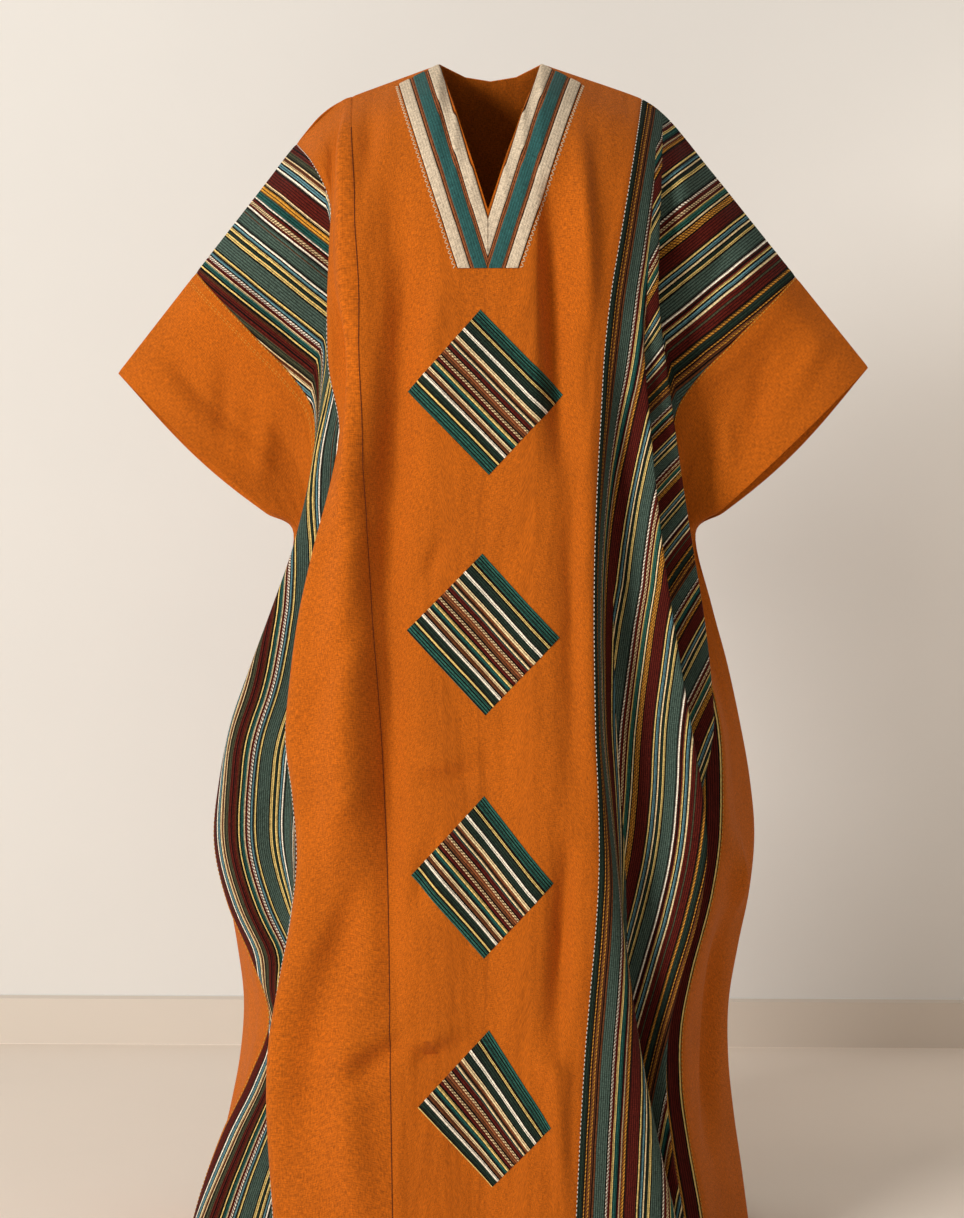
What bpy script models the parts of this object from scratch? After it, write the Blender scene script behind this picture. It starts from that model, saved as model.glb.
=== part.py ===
"""Grand boubou robe: one very wide cloth hung from the shoulders.

Frame: metres, +Z up, the front faces -Y. The origin is the middle of the shoulder
line, where the wearer carries the robe. Left and right are those of someone who
looks at the front.
The cloth is a grid of columns, which follow its folds from the shoulder to the hem,
and of rows, which run across it. Panels are cut from that grid along its seams.
"""

import math

import bmesh
import bpy
import numpy as np
from mathutils import Vector

CLOTH = 0.0016  # thickness of the panels
TRIM = 0.0010  # thickness of the neckband, its tapes and the patches
SEAM_GAP = 0.0003  # space between neighbouring pieces
BUST = -0.62  # height of the underarm, where the cloth closes to a ring
LEVELS = (BUST, -0.80, -1.00, -1.25, -1.53)  # heights of the ring sections, hem last
SHOULDER_ROWS = 8  # rows from the shoulder line to the underarm
SKIRT_ROWS = 12  # rows from the underarm to the hem
HEM_ROW = SHOULDER_ROWS + SKIRT_ROWS  # number of the last row
CHEST_ROUND = 0.075  # distance over which the cloth turns down at the chest
SLEEVE_ROUND = 0.030  # the same, along a sleeve
CUFF_FRONT = 0.046  # how far the front of a cuff bows forward
CUFF_BACK = 0.056  # how far the back of a cuff bows back
CUFF_SAG = 0.018  # how far the back edge of a cuff hangs below its front edge
BEND_ROUND = 0.050  # softness of the bend between sleeve and body
BACK_BAND_CELLS = 16  # cells along the back of the neckband

V_DEPTH = 0.196  # depth of the neck at the front
V_HALF = 0.066  # half the width of the neck along the shoulder
BACK_NECK = 0.018  # depth of the neck at the back

BAND_TOP = (0.0645, -0.0010, 0.1165, -0.0285)  # inner x, z and outer x, z at the shoulder
BAND_FOOT = (0.0025, -0.1963, 0.0399, -0.2626)  # the same at the foot of the V
BAND_END = -0.2680  # height of the band's straight lower edge
BAND_WIDTH = 0.0400  # width of the band, square to its edges
BACK_LIFT = 0.0020  # extra room under the back band, which bends round the neck
# Tapes across the band, as shares of its width from the inner edge.
TAPES = (
    # name, from, to, colour
    ("cream_inner", 0.02, 0.27, "cream"),
    ("teal", 0.36, 0.64, "teal"),
    ("cream_outer", 0.73, 0.98, "cream"),
)

# Centre x, z and the four corners of each patch as x and z from that centre.
PATCHES = (
    # x, z, top (x, z), right, bottom, left
    (-0.0033, -0.4199, (-0.006, 0.101), (0.097, -0.004), (0.005, -0.103), (-0.096, 0.000)),
    (-0.0043, -0.7208, (-0.002, 0.101), (0.093, -0.002), (0.002, -0.098), (-0.095, 0.006)),
    (-0.0056, -1.0179, (0.002, 0.100), (0.087, -0.006), (0.002, -0.100), (-0.088, 0.002)),
    (-0.0019, -1.3070, (0.005, 0.101), (0.082, -0.015), (0.009, -0.092), (-0.083, 0.007)),
)

# The upper edge: the shoulder and the top of the sleeve, as distance along it, x, z.
LEFT_EDGE = (
    (0.000, 0.0000, 0.0000),
    (0.066, 0.0645, 0.0000),
    (0.122, 0.1157, -0.0234),
    (0.195, 0.1860, -0.0430),
    (0.238, 0.2180, -0.0640),
    (0.285, 0.2520, -0.1040),
    (0.650, 0.4830, -0.3950),
)
RIGHT_EDGE = (
    (0.000, 0.0000, 0.0000),
    (0.066, 0.0660, 0.0000),
    (0.122, 0.1180, -0.0200),
    (0.203, 0.1950, -0.0450),
    (0.245, 0.2290, -0.0690),
    (0.655, 0.4880, -0.3880),
)

# Folds, from the centre out: ridges stand out and valleys lie between them.
# edge: distance along the upper edge. bend: x, y, z where the column turns down.
# Then x and y at the five levels. x is outward, and y is forward when negative.
# cells: grid cells between this column and the next.
FRONT_LEFT = (
    # name, edge, bend,
    # bust, waist, hip, knee, hem, cells
    ("centre", 0.000, (0.000, -0.146, -0.300),
     (0.000, -0.166), (0.000, -0.184), (0.000, -0.201), (0.000, -0.218), (0.000, -0.238), 1),
    ("neck_1", 0.022, (0.020, -0.146, -0.300),
     (0.019, -0.166), (0.019, -0.185), (0.018, -0.202), (0.018, -0.219), (0.017, -0.239), 1),
    ("neck_2", 0.044, (0.040, -0.146, -0.300),
     (0.039, -0.166), (0.038, -0.186), (0.035, -0.203), (0.034, -0.220), (0.033, -0.240), 1),
    ("neck_side", 0.066, (0.060, -0.145, -0.300),
     (0.059, -0.166), (0.056, -0.187), (0.054, -0.205), (0.052, -0.222), (0.050, -0.242), 2),
    ("bust_seam", 0.186, (0.157, -0.134, -0.270),
     (0.149, -0.162), (0.135, -0.188), (0.126, -0.208), (0.119, -0.226), (0.114, -0.247), 2),
    ("ridge_1", 0.200, (0.197, -0.112, -0.300),
     (0.227, -0.150), (0.248, -0.170), (0.229, -0.189), (0.270, -0.200), (0.251, -0.222), 1),
    ("stripe_seam", 0.281, (0.195, -0.086, -0.165),
     (0.217, -0.124), (0.252, -0.154), (0.237, -0.178), (0.273, -0.184), (0.262, -0.206), 2),
    ("valley_1", 0.340, (0.177, -0.060, -0.257),
     (0.165, -0.086), (0.219, -0.080), (0.255, -0.094), (0.233, -0.110), (0.277, -0.120), 3),
    ("ridge_2", 0.410, (0.197, -0.051, -0.337),
     (0.243, -0.065), (0.319, -0.060), (0.331, -0.088), (0.257, -0.098), (0.388, -0.104), 2),
    ("gold_seam", 0.487, (0.219, -0.041, -0.434),
     (0.226, -0.041), (0.316, -0.030), (0.355, -0.058), (0.282, -0.077), (0.394, -0.072), 1),
    ("valley_2", 0.565, (0.241, -0.028, -0.505),
     (0.215, -0.019), (0.276, -0.008), (0.336, -0.006), (0.314, -0.016), (0.372, -0.012), 2),
    ("side", 0.650, (0.370, 0.000, -0.497),
     (0.256, 0.000), (0.305, 0.020), (0.354, 0.045), (0.331, 0.050), (0.387, 0.056), 0),
)
# Where the left front is tucked in above the underarm and let out above the hem: pairs
# of a depth below the shoulder line and how far the column moves towards the centre.
TUCKS = (
    ("ridge_1", ((0.28, 0.000), (0.36, 0.028), (0.45, 0.047), (0.54, 0.020), (0.68, 0.000))),
    ("stripe_seam", ((0.38, 0.000), (0.45, 0.048), (0.50, 0.040), (0.56, 0.018), (0.68, 0.000))),
    ("ridge_2", ((1.25, 0.000), (1.30, -0.008), (1.36, -0.014), (1.44, -0.010), (1.53, 0.000))),
    ("gold_seam", ((1.25, 0.000), (1.30, -0.018), (1.36, -0.028), (1.44, -0.018), (1.53, 0.000))),
)
FRONT_RIGHT = (
    # name, edge, bend,
    # bust, waist, hip, knee, hem, cells
    ("centre", 0.000, (0.000, -0.146, -0.300),
     (0.000, -0.166), (0.000, -0.184), (0.000, -0.201), (0.000, -0.218), (0.000, -0.238), 1),
    ("neck_1", 0.022, (0.020, -0.147, -0.300),
     (0.019, -0.168), (0.019, -0.187), (0.018, -0.204), (0.018, -0.221), (0.017, -0.241), 1),
    ("neck_2", 0.044, (0.041, -0.148, -0.300),
     (0.039, -0.171), (0.038, -0.191), (0.036, -0.208), (0.035, -0.225), (0.033, -0.245), 1),
    ("neck_side", 0.066, (0.061, -0.149, -0.300),
     (0.058, -0.174), (0.056, -0.195), (0.055, -0.212), (0.053, -0.229), (0.049, -0.249), 3),
    ("stripe_seam", 0.203, (0.147, -0.128, -0.330),
     (0.130, -0.166), (0.132, -0.189), (0.138, -0.206), (0.120, -0.228), (0.106, -0.250), 1),
    ("ridge_1", 0.209, (0.160, -0.120, -0.330),
     (0.136, -0.142), (0.139, -0.158), (0.156, -0.190), (0.191, -0.209), (0.253, -0.222), 2),
    ("valley_1", 0.214, (0.174, -0.115, -0.320),
     (0.155, -0.106), (0.159, -0.115), (0.172, -0.128), (0.182, -0.146), (0.231, -0.164), 2),
    ("ridge_2", 0.220, (0.188, -0.110, -0.310),
     (0.216, -0.130), (0.247, -0.142), (0.274, -0.150), (0.224, -0.160), (0.258, -0.166), 2),
    ("valley_2", 0.226, (0.197, -0.104, -0.305),
     (0.184, -0.088), (0.209, -0.092), (0.233, -0.098), (0.197, -0.118), (0.234, -0.124), 2),
    ("ridge_3", 0.235, (0.210, -0.098, -0.300),
     (0.257, -0.078), (0.289, -0.077), (0.256, -0.088), (0.213, -0.104), (0.250, -0.108), 2),
    ("valley_3", 0.330, (0.189, -0.060, -0.223),
     (0.190, -0.056), (0.249, -0.054), (0.269, -0.078), (0.225, -0.094), (0.260, -0.099), 2),
    ("sleeve_mid", 0.410, (0.209, -0.050, -0.323),
     (0.214, -0.047), (0.267, -0.044), (0.283, -0.074), (0.236, -0.091), (0.272, -0.095), 2),
    ("gold_seam", 0.505, (0.231, -0.041, -0.437),
     (0.236, -0.038), (0.290, -0.036), (0.297, -0.070), (0.247, -0.090), (0.284, -0.092), 1),
    ("valley_4", 0.580, (0.258, -0.028, -0.504),
     (0.229, -0.018), (0.296, -0.006), (0.320, -0.022), (0.275, -0.030), (0.309, -0.034), 2),
    ("side", 0.655, (0.378, 0.000, -0.496),
     (0.267, 0.000), (0.317, 0.020), (0.349, 0.032), (0.316, 0.040), (0.347, 0.050), 0),
)
BACK_LEFT = (
    # name, edge, bend,
    # bust, waist, hip, knee, hem, cells
    ("centre", 0.000, (0.000, 0.122, -0.300),
     (0.000, 0.138), (0.000, 0.160), (0.000, 0.184), (0.000, 0.210), (0.000, 0.236), 1),
    ("neck_1", 0.033, (0.032, 0.123, -0.300),
     (0.031, 0.139), (0.031, 0.161), (0.031, 0.186), (0.031, 0.213), (0.032, 0.240), 1),
    ("neck_side", 0.066, (0.064, 0.123, -0.300),
     (0.062, 0.142), (0.063, 0.165), (0.064, 0.190), (0.064, 0.218), (0.066, 0.246), 2),
    ("ridge_1", 0.170, (0.150, 0.118, -0.300),
     (0.134, 0.148), (0.143, 0.176), (0.152, 0.201), (0.157, 0.229), (0.168, 0.256), 2),
    ("valley_1", 0.202, (0.187, 0.108, -0.300),
     (0.160, 0.098), (0.178, 0.121), (0.192, 0.145), (0.198, 0.166), (0.213, 0.186), 2),
    ("ridge_2", 0.236, (0.209, 0.096, -0.290),
     (0.226, 0.106), (0.246, 0.136), (0.262, 0.159), (0.260, 0.186), (0.288, 0.212), 1),
    ("stripe_seam", 0.281, (0.203, 0.070, -0.160),
     (0.196, 0.076), (0.222, 0.100), (0.246, 0.122), (0.250, 0.146), (0.280, 0.166), 1),
    ("valley_2", 0.350, (0.184, 0.053, -0.267),
     (0.186, 0.064), (0.222, 0.076), (0.256, 0.092), (0.256, 0.114), (0.290, 0.126), 2),
    ("ridge_3", 0.420, (0.201, 0.049, -0.349),
     (0.246, 0.060), (0.302, 0.084), (0.336, 0.105), (0.318, 0.125), (0.366, 0.140), 2),
    ("gold_seam", 0.487, (0.222, 0.043, -0.434),
     (0.228, 0.040), (0.284, 0.056), (0.326, 0.076), (0.304, 0.092), (0.356, 0.104), 1),
    ("valley_3", 0.565, (0.243, 0.030, -0.505),
     (0.216, 0.019), (0.272, 0.042), (0.322, 0.060), (0.298, 0.072), (0.350, 0.082), 2),
    ("side", 0.650, (0.370, 0.000, -0.497),
     (0.256, 0.000), (0.304, 0.020), (0.350, 0.045), (0.326, 0.050), (0.384, 0.056), 0),
)
BACK_RIGHT = (
    # name, edge, bend,
    # bust, waist, hip, knee, hem, cells
    ("centre", 0.000, (0.000, 0.122, -0.300),
     (0.000, 0.138), (0.000, 0.160), (0.000, 0.184), (0.000, 0.210), (0.000, 0.236), 1),
    ("neck_1", 0.033, (0.032, 0.122, -0.300),
     (0.031, 0.137), (0.031, 0.159), (0.031, 0.183), (0.031, 0.208), (0.032, 0.234), 1),
    ("neck_side", 0.066, (0.064, 0.122, -0.300),
     (0.062, 0.138), (0.063, 0.160), (0.063, 0.184), (0.063, 0.209), (0.065, 0.235), 2),
    ("ridge_1", 0.150, (0.140, 0.118, -0.300),
     (0.124, 0.148), (0.128, 0.174), (0.134, 0.199), (0.136, 0.226), (0.144, 0.252), 2),
    ("stripe_seam", 0.203, (0.184, 0.102, -0.300),
     (0.158, 0.104), (0.166, 0.128), (0.176, 0.150), (0.178, 0.172), (0.190, 0.194), 2),
    ("ridge_2", 0.238, (0.214, 0.096, -0.290),
     (0.228, 0.106), (0.244, 0.134), (0.254, 0.156), (0.244, 0.180), (0.262, 0.204), 2),
    ("valley_2", 0.330, (0.195, 0.054, -0.220),
     (0.190, 0.066), (0.214, 0.080), (0.236, 0.096), (0.228, 0.116), (0.250, 0.128), 2),
    ("ridge_3", 0.420, (0.216, 0.049, -0.334),
     (0.254, 0.060), (0.300, 0.084), (0.322, 0.104), (0.300, 0.124), (0.330, 0.138), 2),
    ("gold_seam", 0.505, (0.234, 0.043, -0.437),
     (0.238, 0.038), (0.286, 0.052), (0.316, 0.070), (0.286, 0.084), (0.318, 0.098), 1),
    ("valley_3", 0.580, (0.260, 0.030, -0.504),
     (0.228, 0.018), (0.282, 0.038), (0.314, 0.052), (0.282, 0.062), (0.312, 0.074), 2),
    ("side", 0.655, (0.378, 0.000, -0.496),
     (0.267, 0.000), (0.316, 0.020), (0.346, 0.032), (0.312, 0.040), (0.344, 0.050), 0),
)

COLOURS = {
    # name: red, green, blue in linear light
    "orange": (0.50, 0.13, 0.012),
    "stripe": (0.06, 0.10, 0.09),
    "cream": (0.75, 0.60, 0.43),
    "teal": (0.05, 0.19, 0.16),
    "ochre": (0.45, 0.17, 0.03),
}


def edge_point(edge, along):
    """x and z of the upper edge at a distance along it."""
    table = np.array(edge)
    x = np.interp(along, table[:, 0], table[:, 1])
    z = np.interp(along, table[:, 0], table[:, 2])
    return np.array([x, z])


def neck_drop(along, front):
    """How far below the shoulder line a column starts, where the neck is open."""
    share = max(0.0, 1.0 - along / V_HALF)
    return V_DEPTH * share if front else BACK_NECK * (1.0 - (1.0 - share) ** 2)


def softened(start, bend, end, distance):
    """Point at a distance along start-bend-end, with the corner rounded."""
    first = np.linalg.norm(bend - start)
    last = np.linalg.norm(end - bend)
    into = (bend - start) / first
    out = (end - bend) / last
    reach = min(BEND_ROUND, 0.9 * first, 0.9 * last)
    step = (distance - first + reach) / (2 * reach)
    if step <= 0:
        return start + into * distance
    if step >= 1:
        return bend + out * (distance - first)
    before = bend - into * reach
    after = bend + out * reach
    return before * (1 - step) ** 2 + 2 * bend * step * (1 - step) + after * step**2


def column_above(edge, fold, front):
    """Points of one column from the upper edge to the underarm ring."""
    name, along, bend, ring = fold[:4]
    start = edge_point(edge, along)
    turn = np.array([bend[0], bend[2]])
    end = np.array([ring[0], BUST])
    if name == "side":
        end[1] = BUST + 0.018
        turn = (start + end) / 2
    first = np.linalg.norm(turn - start)
    length = first + np.linalg.norm(end - turn)
    skipped = neck_drop(along, front)
    on_chest = along < 0.24
    soft = CHEST_ROUND if on_chest else SLEEVE_ROUND
    points = []
    for row in range(SHOULDER_ROWS + 1):
        share = (row / SHOULDER_ROWS) ** 1.2
        distance = skipped + (length - skipped) * share
        x, z = softened(start, turn, end, distance)
        if name == "side":
            bow = -CUFF_FRONT if front else CUFF_BACK
            y = bow * math.sin(math.pi * share) ** 0.8
            if not front:
                run = (end - start) / length
                sag = CUFF_SAG * math.sin(math.pi * share)
                x, z = x - run[1] * sag, z + run[0] * sag
        else:
            turned = (1 - math.exp(-distance / soft)) / (1 - math.exp(-first / soft))
            y = bend[1] * min(turned, 1.0)
            late = min(max((distance - first) / (length - first), 0.0), 1.0)
            y += (ring[1] - y) * late * late * (3 - 2 * late)
        points.append((x, y, z))
    return points


def column_below(fold):
    """Points of one column from the underarm ring to the hem."""
    heights = -np.array(LEVELS)
    ring = np.array(fold[3:8])
    slopes = np.gradient(ring, heights, axis=0)
    points = []
    for row in range(1, SKIRT_ROWS + 1):
        depth = heights[0] + (heights[-1] - heights[0]) * row / SKIRT_ROWS
        level = min(int(np.searchsorted(heights, depth, side="left")) - 1, len(heights) - 2)
        gap = heights[level + 1] - heights[level]
        step = (depth - heights[level]) / gap
        start_share = 2 * step**3 - 3 * step**2 + 1
        end_share = 1 - start_share
        leave = (step**3 - 2 * step**2 + step) * gap
        arrive = (step**3 - step**2) * gap
        place = ring[level] * start_share + ring[level + 1] * end_share
        place = place + slopes[level] * leave + slopes[level + 1] * arrive
        points.append((place[0], place[1], -depth))
    return points


def columns_of(edge, folds, front, side):
    """Every named column of one quarter of the cloth, rows first; side is -1 or 1."""
    found = []
    for fold in folds:
        column = np.array(column_above(edge, fold, front) + column_below(fold))
        for name, shifts in TUCKS:
            if front and side < 0 and fold[0] == name:
                column[:, 0] -= np.interp(-column[:, 2], *np.array(shifts).T)
        if fold[0] != "side":
            for _ in range(2):
                middle = column[SHOULDER_ROWS - 2 : SHOULDER_ROWS + 3]
                around = column[SHOULDER_ROWS - 3 : SHOULDER_ROWS + 2]
                beyond = column[SHOULDER_ROWS - 1 : SHOULDER_ROWS + 4]
                column[SHOULDER_ROWS - 2 : SHOULDER_ROWS + 3] = (around + 2 * middle + beyond) / 4
        column[:, 0] *= side
        found.append(column)
    return found


def across(columns, cells, straight):
    """The grid with the cells between named columns filled along rounded curves."""
    points = np.array(columns)
    gaps = np.linalg.norm(np.diff(points, axis=0), axis=2) ** 0.5
    gaps = np.maximum(gaps, 1e-4)[:, :, None]
    chords = np.diff(points, axis=0) / gaps
    slopes = np.empty_like(points)
    slopes[0] = chords[0]
    slopes[-1] = chords[-1]
    slopes[1:-1] = (chords[:-1] * gaps[1:] + chords[1:] * gaps[:-1]) / (gaps[1:] + gaps[:-1])
    slopes[min(straight)] = chords[min(straight) - 1]
    slopes[max(straight) + 1] = chords[max(straight) + 1]
    rows = []
    for index, count in enumerate(cells):
        start, end = points[index], points[index + 1]
        for cell in range(count):
            step = cell / count
            if index in straight:
                rows.append(start + (end - start) * step)
                continue
            leave = (step**3 - 2 * step**2 + step) * gaps[index]
            arrive = (step**3 - step**2) * gaps[index]
            share = 3 * step**2 - 2 * step**3
            curve = start * (1 - share) + end * share
            rows.append(curve + slopes[index] * leave + slopes[index + 1] * arrive)
    rows.append(points[-1])
    return np.array(rows)


def sheet_of(left, right, front):
    """Grid of the front or the back, left side seam to right, and the seam columns."""
    left_columns = columns_of(LEFT_EDGE, left, front, -1)
    right_columns = columns_of(RIGHT_EDGE, right, front, 1)
    columns = left_columns[:0:-1] + right_columns
    cells = [fold[-1] for fold in left[:-1]][::-1] + [fold[-1] for fold in right[:-1]]
    names = ["left_" + fold[0] for fold in left[:0:-1]] + ["right_" + fold[0] for fold in right]
    straight = {
        index
        for index, name in enumerate(names[:-1])
        if "neck" in name and ("neck" in names[index + 1] or "centre" in names[index + 1])
    }
    straight.add(names.index("right_centre"))
    places = np.concatenate([[0], np.cumsum(cells)])
    return across(columns, cells, straight), dict(zip(names, places.tolist()))


def directions(grid, axis):
    """Unit direction of the grid's lines at each point, halfway between its cells."""
    steps = np.diff(grid, axis=axis)
    steps /= np.linalg.norm(steps, axis=2, keepdims=True)
    first = np.take(steps, [0], axis=axis)
    last = np.take(steps, [-1], axis=axis)
    total = np.concatenate([first, steps], axis=axis) + np.concatenate([steps, last], axis=axis)
    return total / np.linalg.norm(total, axis=2, keepdims=True)


def seam_frames(front, back):
    """Unit normals and directions square to the columns, shared where the sheets meet."""
    frames = []
    for grid, sign in ((front, -1.0), (back, 1.0)):
        down = directions(grid, 1)
        normal = np.cross(directions(grid, 0), down) * sign
        normal /= np.linalg.norm(normal, axis=2, keepdims=True)
        on_shoulder = np.abs(grid[:, 0, 1]) < 1e-6
        normal[on_shoulder, 0, 1] = 0.0
        normal[:, 0] /= np.linalg.norm(normal[:, 0], axis=1, keepdims=True)
        square = np.cross(down, normal) * sign
        square /= np.linalg.norm(square, axis=2, keepdims=True)
        frames.append((normal, square))
    (ahead, front_square), (behind, back_square) = frames
    for end in (0, -1):
        normal = ahead[end, SHOULDER_ROWS:] + behind[end, SHOULDER_ROWS:]
        normal /= np.linalg.norm(normal, axis=1, keepdims=True)
        ahead[end, SHOULDER_ROWS:] = normal
        behind[end, SHOULDER_ROWS:] = normal
        square = front_square[end, SHOULDER_ROWS:] - back_square[end, SHOULDER_ROWS:]
        square /= np.linalg.norm(square, axis=1, keepdims=True)
        front_square[end, SHOULDER_ROWS:] = square
        back_square[end, SHOULDER_ROWS:] = -square
    return frames


def object_of(name, points, faces, colour, collection):
    """A mesh object with a plain material of its own."""
    mesh = bpy.data.meshes.new(name)
    mesh.from_pydata([tuple(point) for point in points], [], faces)
    material = bpy.data.materials.new(name)
    material.use_nodes = True
    shader = material.node_tree.nodes["Principled BSDF"]
    shader.inputs["Base Color"].default_value = (*COLOURS[colour], 1.0)
    shader.inputs["Roughness"].default_value = 0.9
    mesh.materials.append(material)
    mesh.validate()
    obj = bpy.data.objects.new(name, mesh)
    collection.objects.link(obj)
    return obj


def cell_corners(grid, i, j):
    """The two triangles of a grid cell, split along its shorter diagonal."""
    a, b, c, d = (i, j), (i, j + 1), (i + 1, j + 1), (i + 1, j)
    if np.linalg.norm(grid[a] - grid[c]) <= np.linalg.norm(grid[b] - grid[d]):
        return (a, b, c), (a, c, d)
    return (a, b, d), (b, c, d)


def wall(under, over, triangles):
    """Points and faces of a closed wall between two layers with the same triangles."""
    count = len(under)
    faces = []
    uses = {}
    for corners in triangles:
        faces.append([count + corner for corner in corners])
        faces.append(list(reversed(corners)))
        for start, end in zip(corners, corners[1:] + corners[:1]):
            uses[(start, end)] = True
    for start, end in uses:
        if (end, start) in uses:
            continue
        # Both sides of a seam split their rims the same way, so the gap stays even.
        if start < end:
            faces.append([start, end, count + end])
            faces.append([start, count + end, count + start])
        else:
            faces.append([start, end, count + start])
            faces.append([end, count + end, count + start])
    return np.concatenate([under, over]), faces


def panel(name, sheet, first, last, front, colour, collection, rows=(0, HEM_ROW)):
    """One panel: the columns first to last of a sheet, as a wall of cloth."""
    top, foot = rows
    grid, normals, square = [table[first : last + 1, top : foot + 1] for table in sheet]
    part = grid.copy()
    part[0] += square[0] * SEAM_GAP / 2
    part[-1] -= square[-1] * SEAM_GAP / 2
    if top == 0:
        part[:, 0, 1] += -SEAM_GAP / 2 if front else SEAM_GAP / 2
    else:
        part[:, 0, 2] -= SEAM_GAP / 2
    if foot < HEM_ROW:
        part[:, -1, 2] += SEAM_GAP / 2
    across_count, down_count = part.shape[:2]
    triangles = []
    for i in range(across_count - 1):
        for j in range(down_count - 1):
            for corners in cell_corners(grid, i, j):
                numbers = [place[0] * down_count + place[1] for place in corners]
                triangles.append(numbers if front else numbers[::-1])
    flat = part.reshape(-1, 3)
    out = normals.reshape(-1, 3)
    points, faces = wall(flat - out * CLOTH / 2, flat + out * CLOTH / 2, triangles)
    return object_of(name, points, faces, colour, collection)


def outer_panel(name, sheet, first, last, front, collection):
    """An outer panel in two pieces: the cuff, and the side of the body below it."""
    whole = (sheet, first, last, front, "orange", collection)
    panel(name.replace("outer", "cuff"), *whole, rows=(0, SHOULDER_ROWS))
    panel(name, *whole, rows=(SHOULDER_ROWS, HEM_ROW))


def cut_from_sheet(name, sheet, first, last, planes, low, colour, collection):
    """A piece that lies on the front: the sheet's faces inside the planes, moved out."""
    grid, normals = sheet[:2]
    shape = bmesh.new()
    layer = [shape.verts.layers.float.new(axis) for axis in "xyz"]
    verts = {}
    for i in range(first, last + 1):
        for j in range(grid.shape[1]):
            verts[i, j] = shape.verts.new(grid[i, j])
            for axis in range(3):
                verts[i, j][layer[axis]] = normals[i, j][axis]
    for i in range(first, last):
        for j in range(grid.shape[1] - 1):
            for corners in cell_corners(grid, i, j):
                shape.faces.new([verts[place] for place in corners])
    for point, direction in planes:
        everything = shape.verts[:] + shape.edges[:] + shape.faces[:]
        bmesh.ops.bisect_plane(
            shape, geom=everything, dist=1e-6, plane_co=point, plane_no=direction, clear_outer=True
        )
    under = []
    over = []
    order = {}
    for vert in shape.verts:
        order[vert] = len(under)
        normal = Vector([vert[layer[axis]] for axis in range(3)]).normalized()
        under.append(vert.co + normal * low)
        over.append(vert.co + normal * (low + TRIM))
    bmesh.ops.triangulate(shape, faces=shape.faces[:])
    triangles = [[order[vert] for vert in face.verts] for face in shape.faces]
    shape.free()
    points, faces = wall(np.array(under), np.array(over), triangles)
    return object_of(name, points, faces, colour, collection)


def side_plane(start, end, keep):
    """A plane through two points of x and z, square to the front; keep is inside it."""
    along = Vector((end[0] - start[0], 0, end[1] - start[1]))
    normal = along.cross(Vector((0, 1, 0))).normalized()
    point = Vector((start[0], 0, start[1]))
    if (Vector((keep[0], 0, keep[1])) - point).dot(normal) > 0:
        normal = -normal
    return point, normal


def band_line(side, share):
    """Ends, in x and z, of a line along the front band at a share of its width."""
    ends = []
    for inner_x, inner_z, outer_x, outer_z in (BAND_TOP, BAND_FOOT):
        x = inner_x + (outer_x - inner_x) * share
        z = inner_z + (outer_z - inner_z) * share
        ends.append((side * x, z))
    return ends


def front_band(name, side, start, end, low, colour, sheet, span, collection):
    """A strip of the neckband on one side of the front, between two shares of it."""
    inner = band_line(side, start)
    outer = band_line(side, end)
    middle = band_line(side, (start + end) / 2)[0]
    planes = [
        side_plane(inner[0], inner[1], middle),
        side_plane(outer[0], outer[1], middle),
        (Vector((side * SEAM_GAP / 2, 0, 0)), Vector((-side, 0, 0))),
        (Vector((0, 0, BAND_END)), Vector((0, 0, -1))),
    ]
    return cut_from_sheet(name, sheet, *span, planes, low, colour, collection)


def back_band(name, start, end, low, colour, sheet, span, collection):
    """A strip of the neckband round the back of the neck, between two shares of it."""
    grid, normals = sheet[:2]
    facets = []
    for i in range(*span):
        for j in range(4):
            facets.extend(cell_corners(grid, i, j))
    under = []
    over = []
    for turn in np.linspace(0.03, math.pi - 0.03, BACK_BAND_CELLS + 1):
        for share in (start, (start + end) / 2, end):
            half = BAND_TOP[0] + (BAND_TOP[2] - BAND_TOP[0]) * share
            top = BAND_TOP[1] + (BAND_TOP[3] - BAND_TOP[1]) * share
            fall = BACK_NECK + 0.001 + BAND_WIDTH * share + top
            x = half * math.cos(turn)
            z = top - fall * math.sin(turn)
            place, normal = on_facets(grid, normals, facets, x, z)
            under.append(place + normal * (low + BACK_LIFT))
            over.append(place + normal * (low + BACK_LIFT + TRIM))
    triangles = []
    for cell in range(BACK_BAND_CELLS):
        for step in range(2):
            a = 3 * cell + step
            triangles.append([a, a + 4, a + 3])
            triangles.append([a, a + 1, a + 4])
    points, faces = wall(np.array(under), np.array(over), triangles)
    return object_of(name, points, faces, colour, collection)


def on_facets(grid, normals, facets, x, z):
    """The point of a faceted sheet at x and z, and the sheet's normal there."""
    best = None
    for corners in facets:
        flat = np.array([[grid[corner][0], grid[corner][2], 1.0] for corner in corners])
        if abs(np.linalg.det(flat)) < 1e-12:
            continue
        weights = np.linalg.solve(flat.T, np.array([x, z, 1.0]))
        if best is None or weights.min() > best[0]:
            best = (weights.min(), weights, corners)
    weights = np.clip(best[1], 0.0, 1.0)
    weights /= weights.sum()
    place = sum(weight * grid[corner] for weight, corner in zip(weights, best[2]))
    normal = sum(weight * normals[corner] for weight, corner in zip(weights, best[2]))
    return place, normal / np.linalg.norm(normal)


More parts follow.
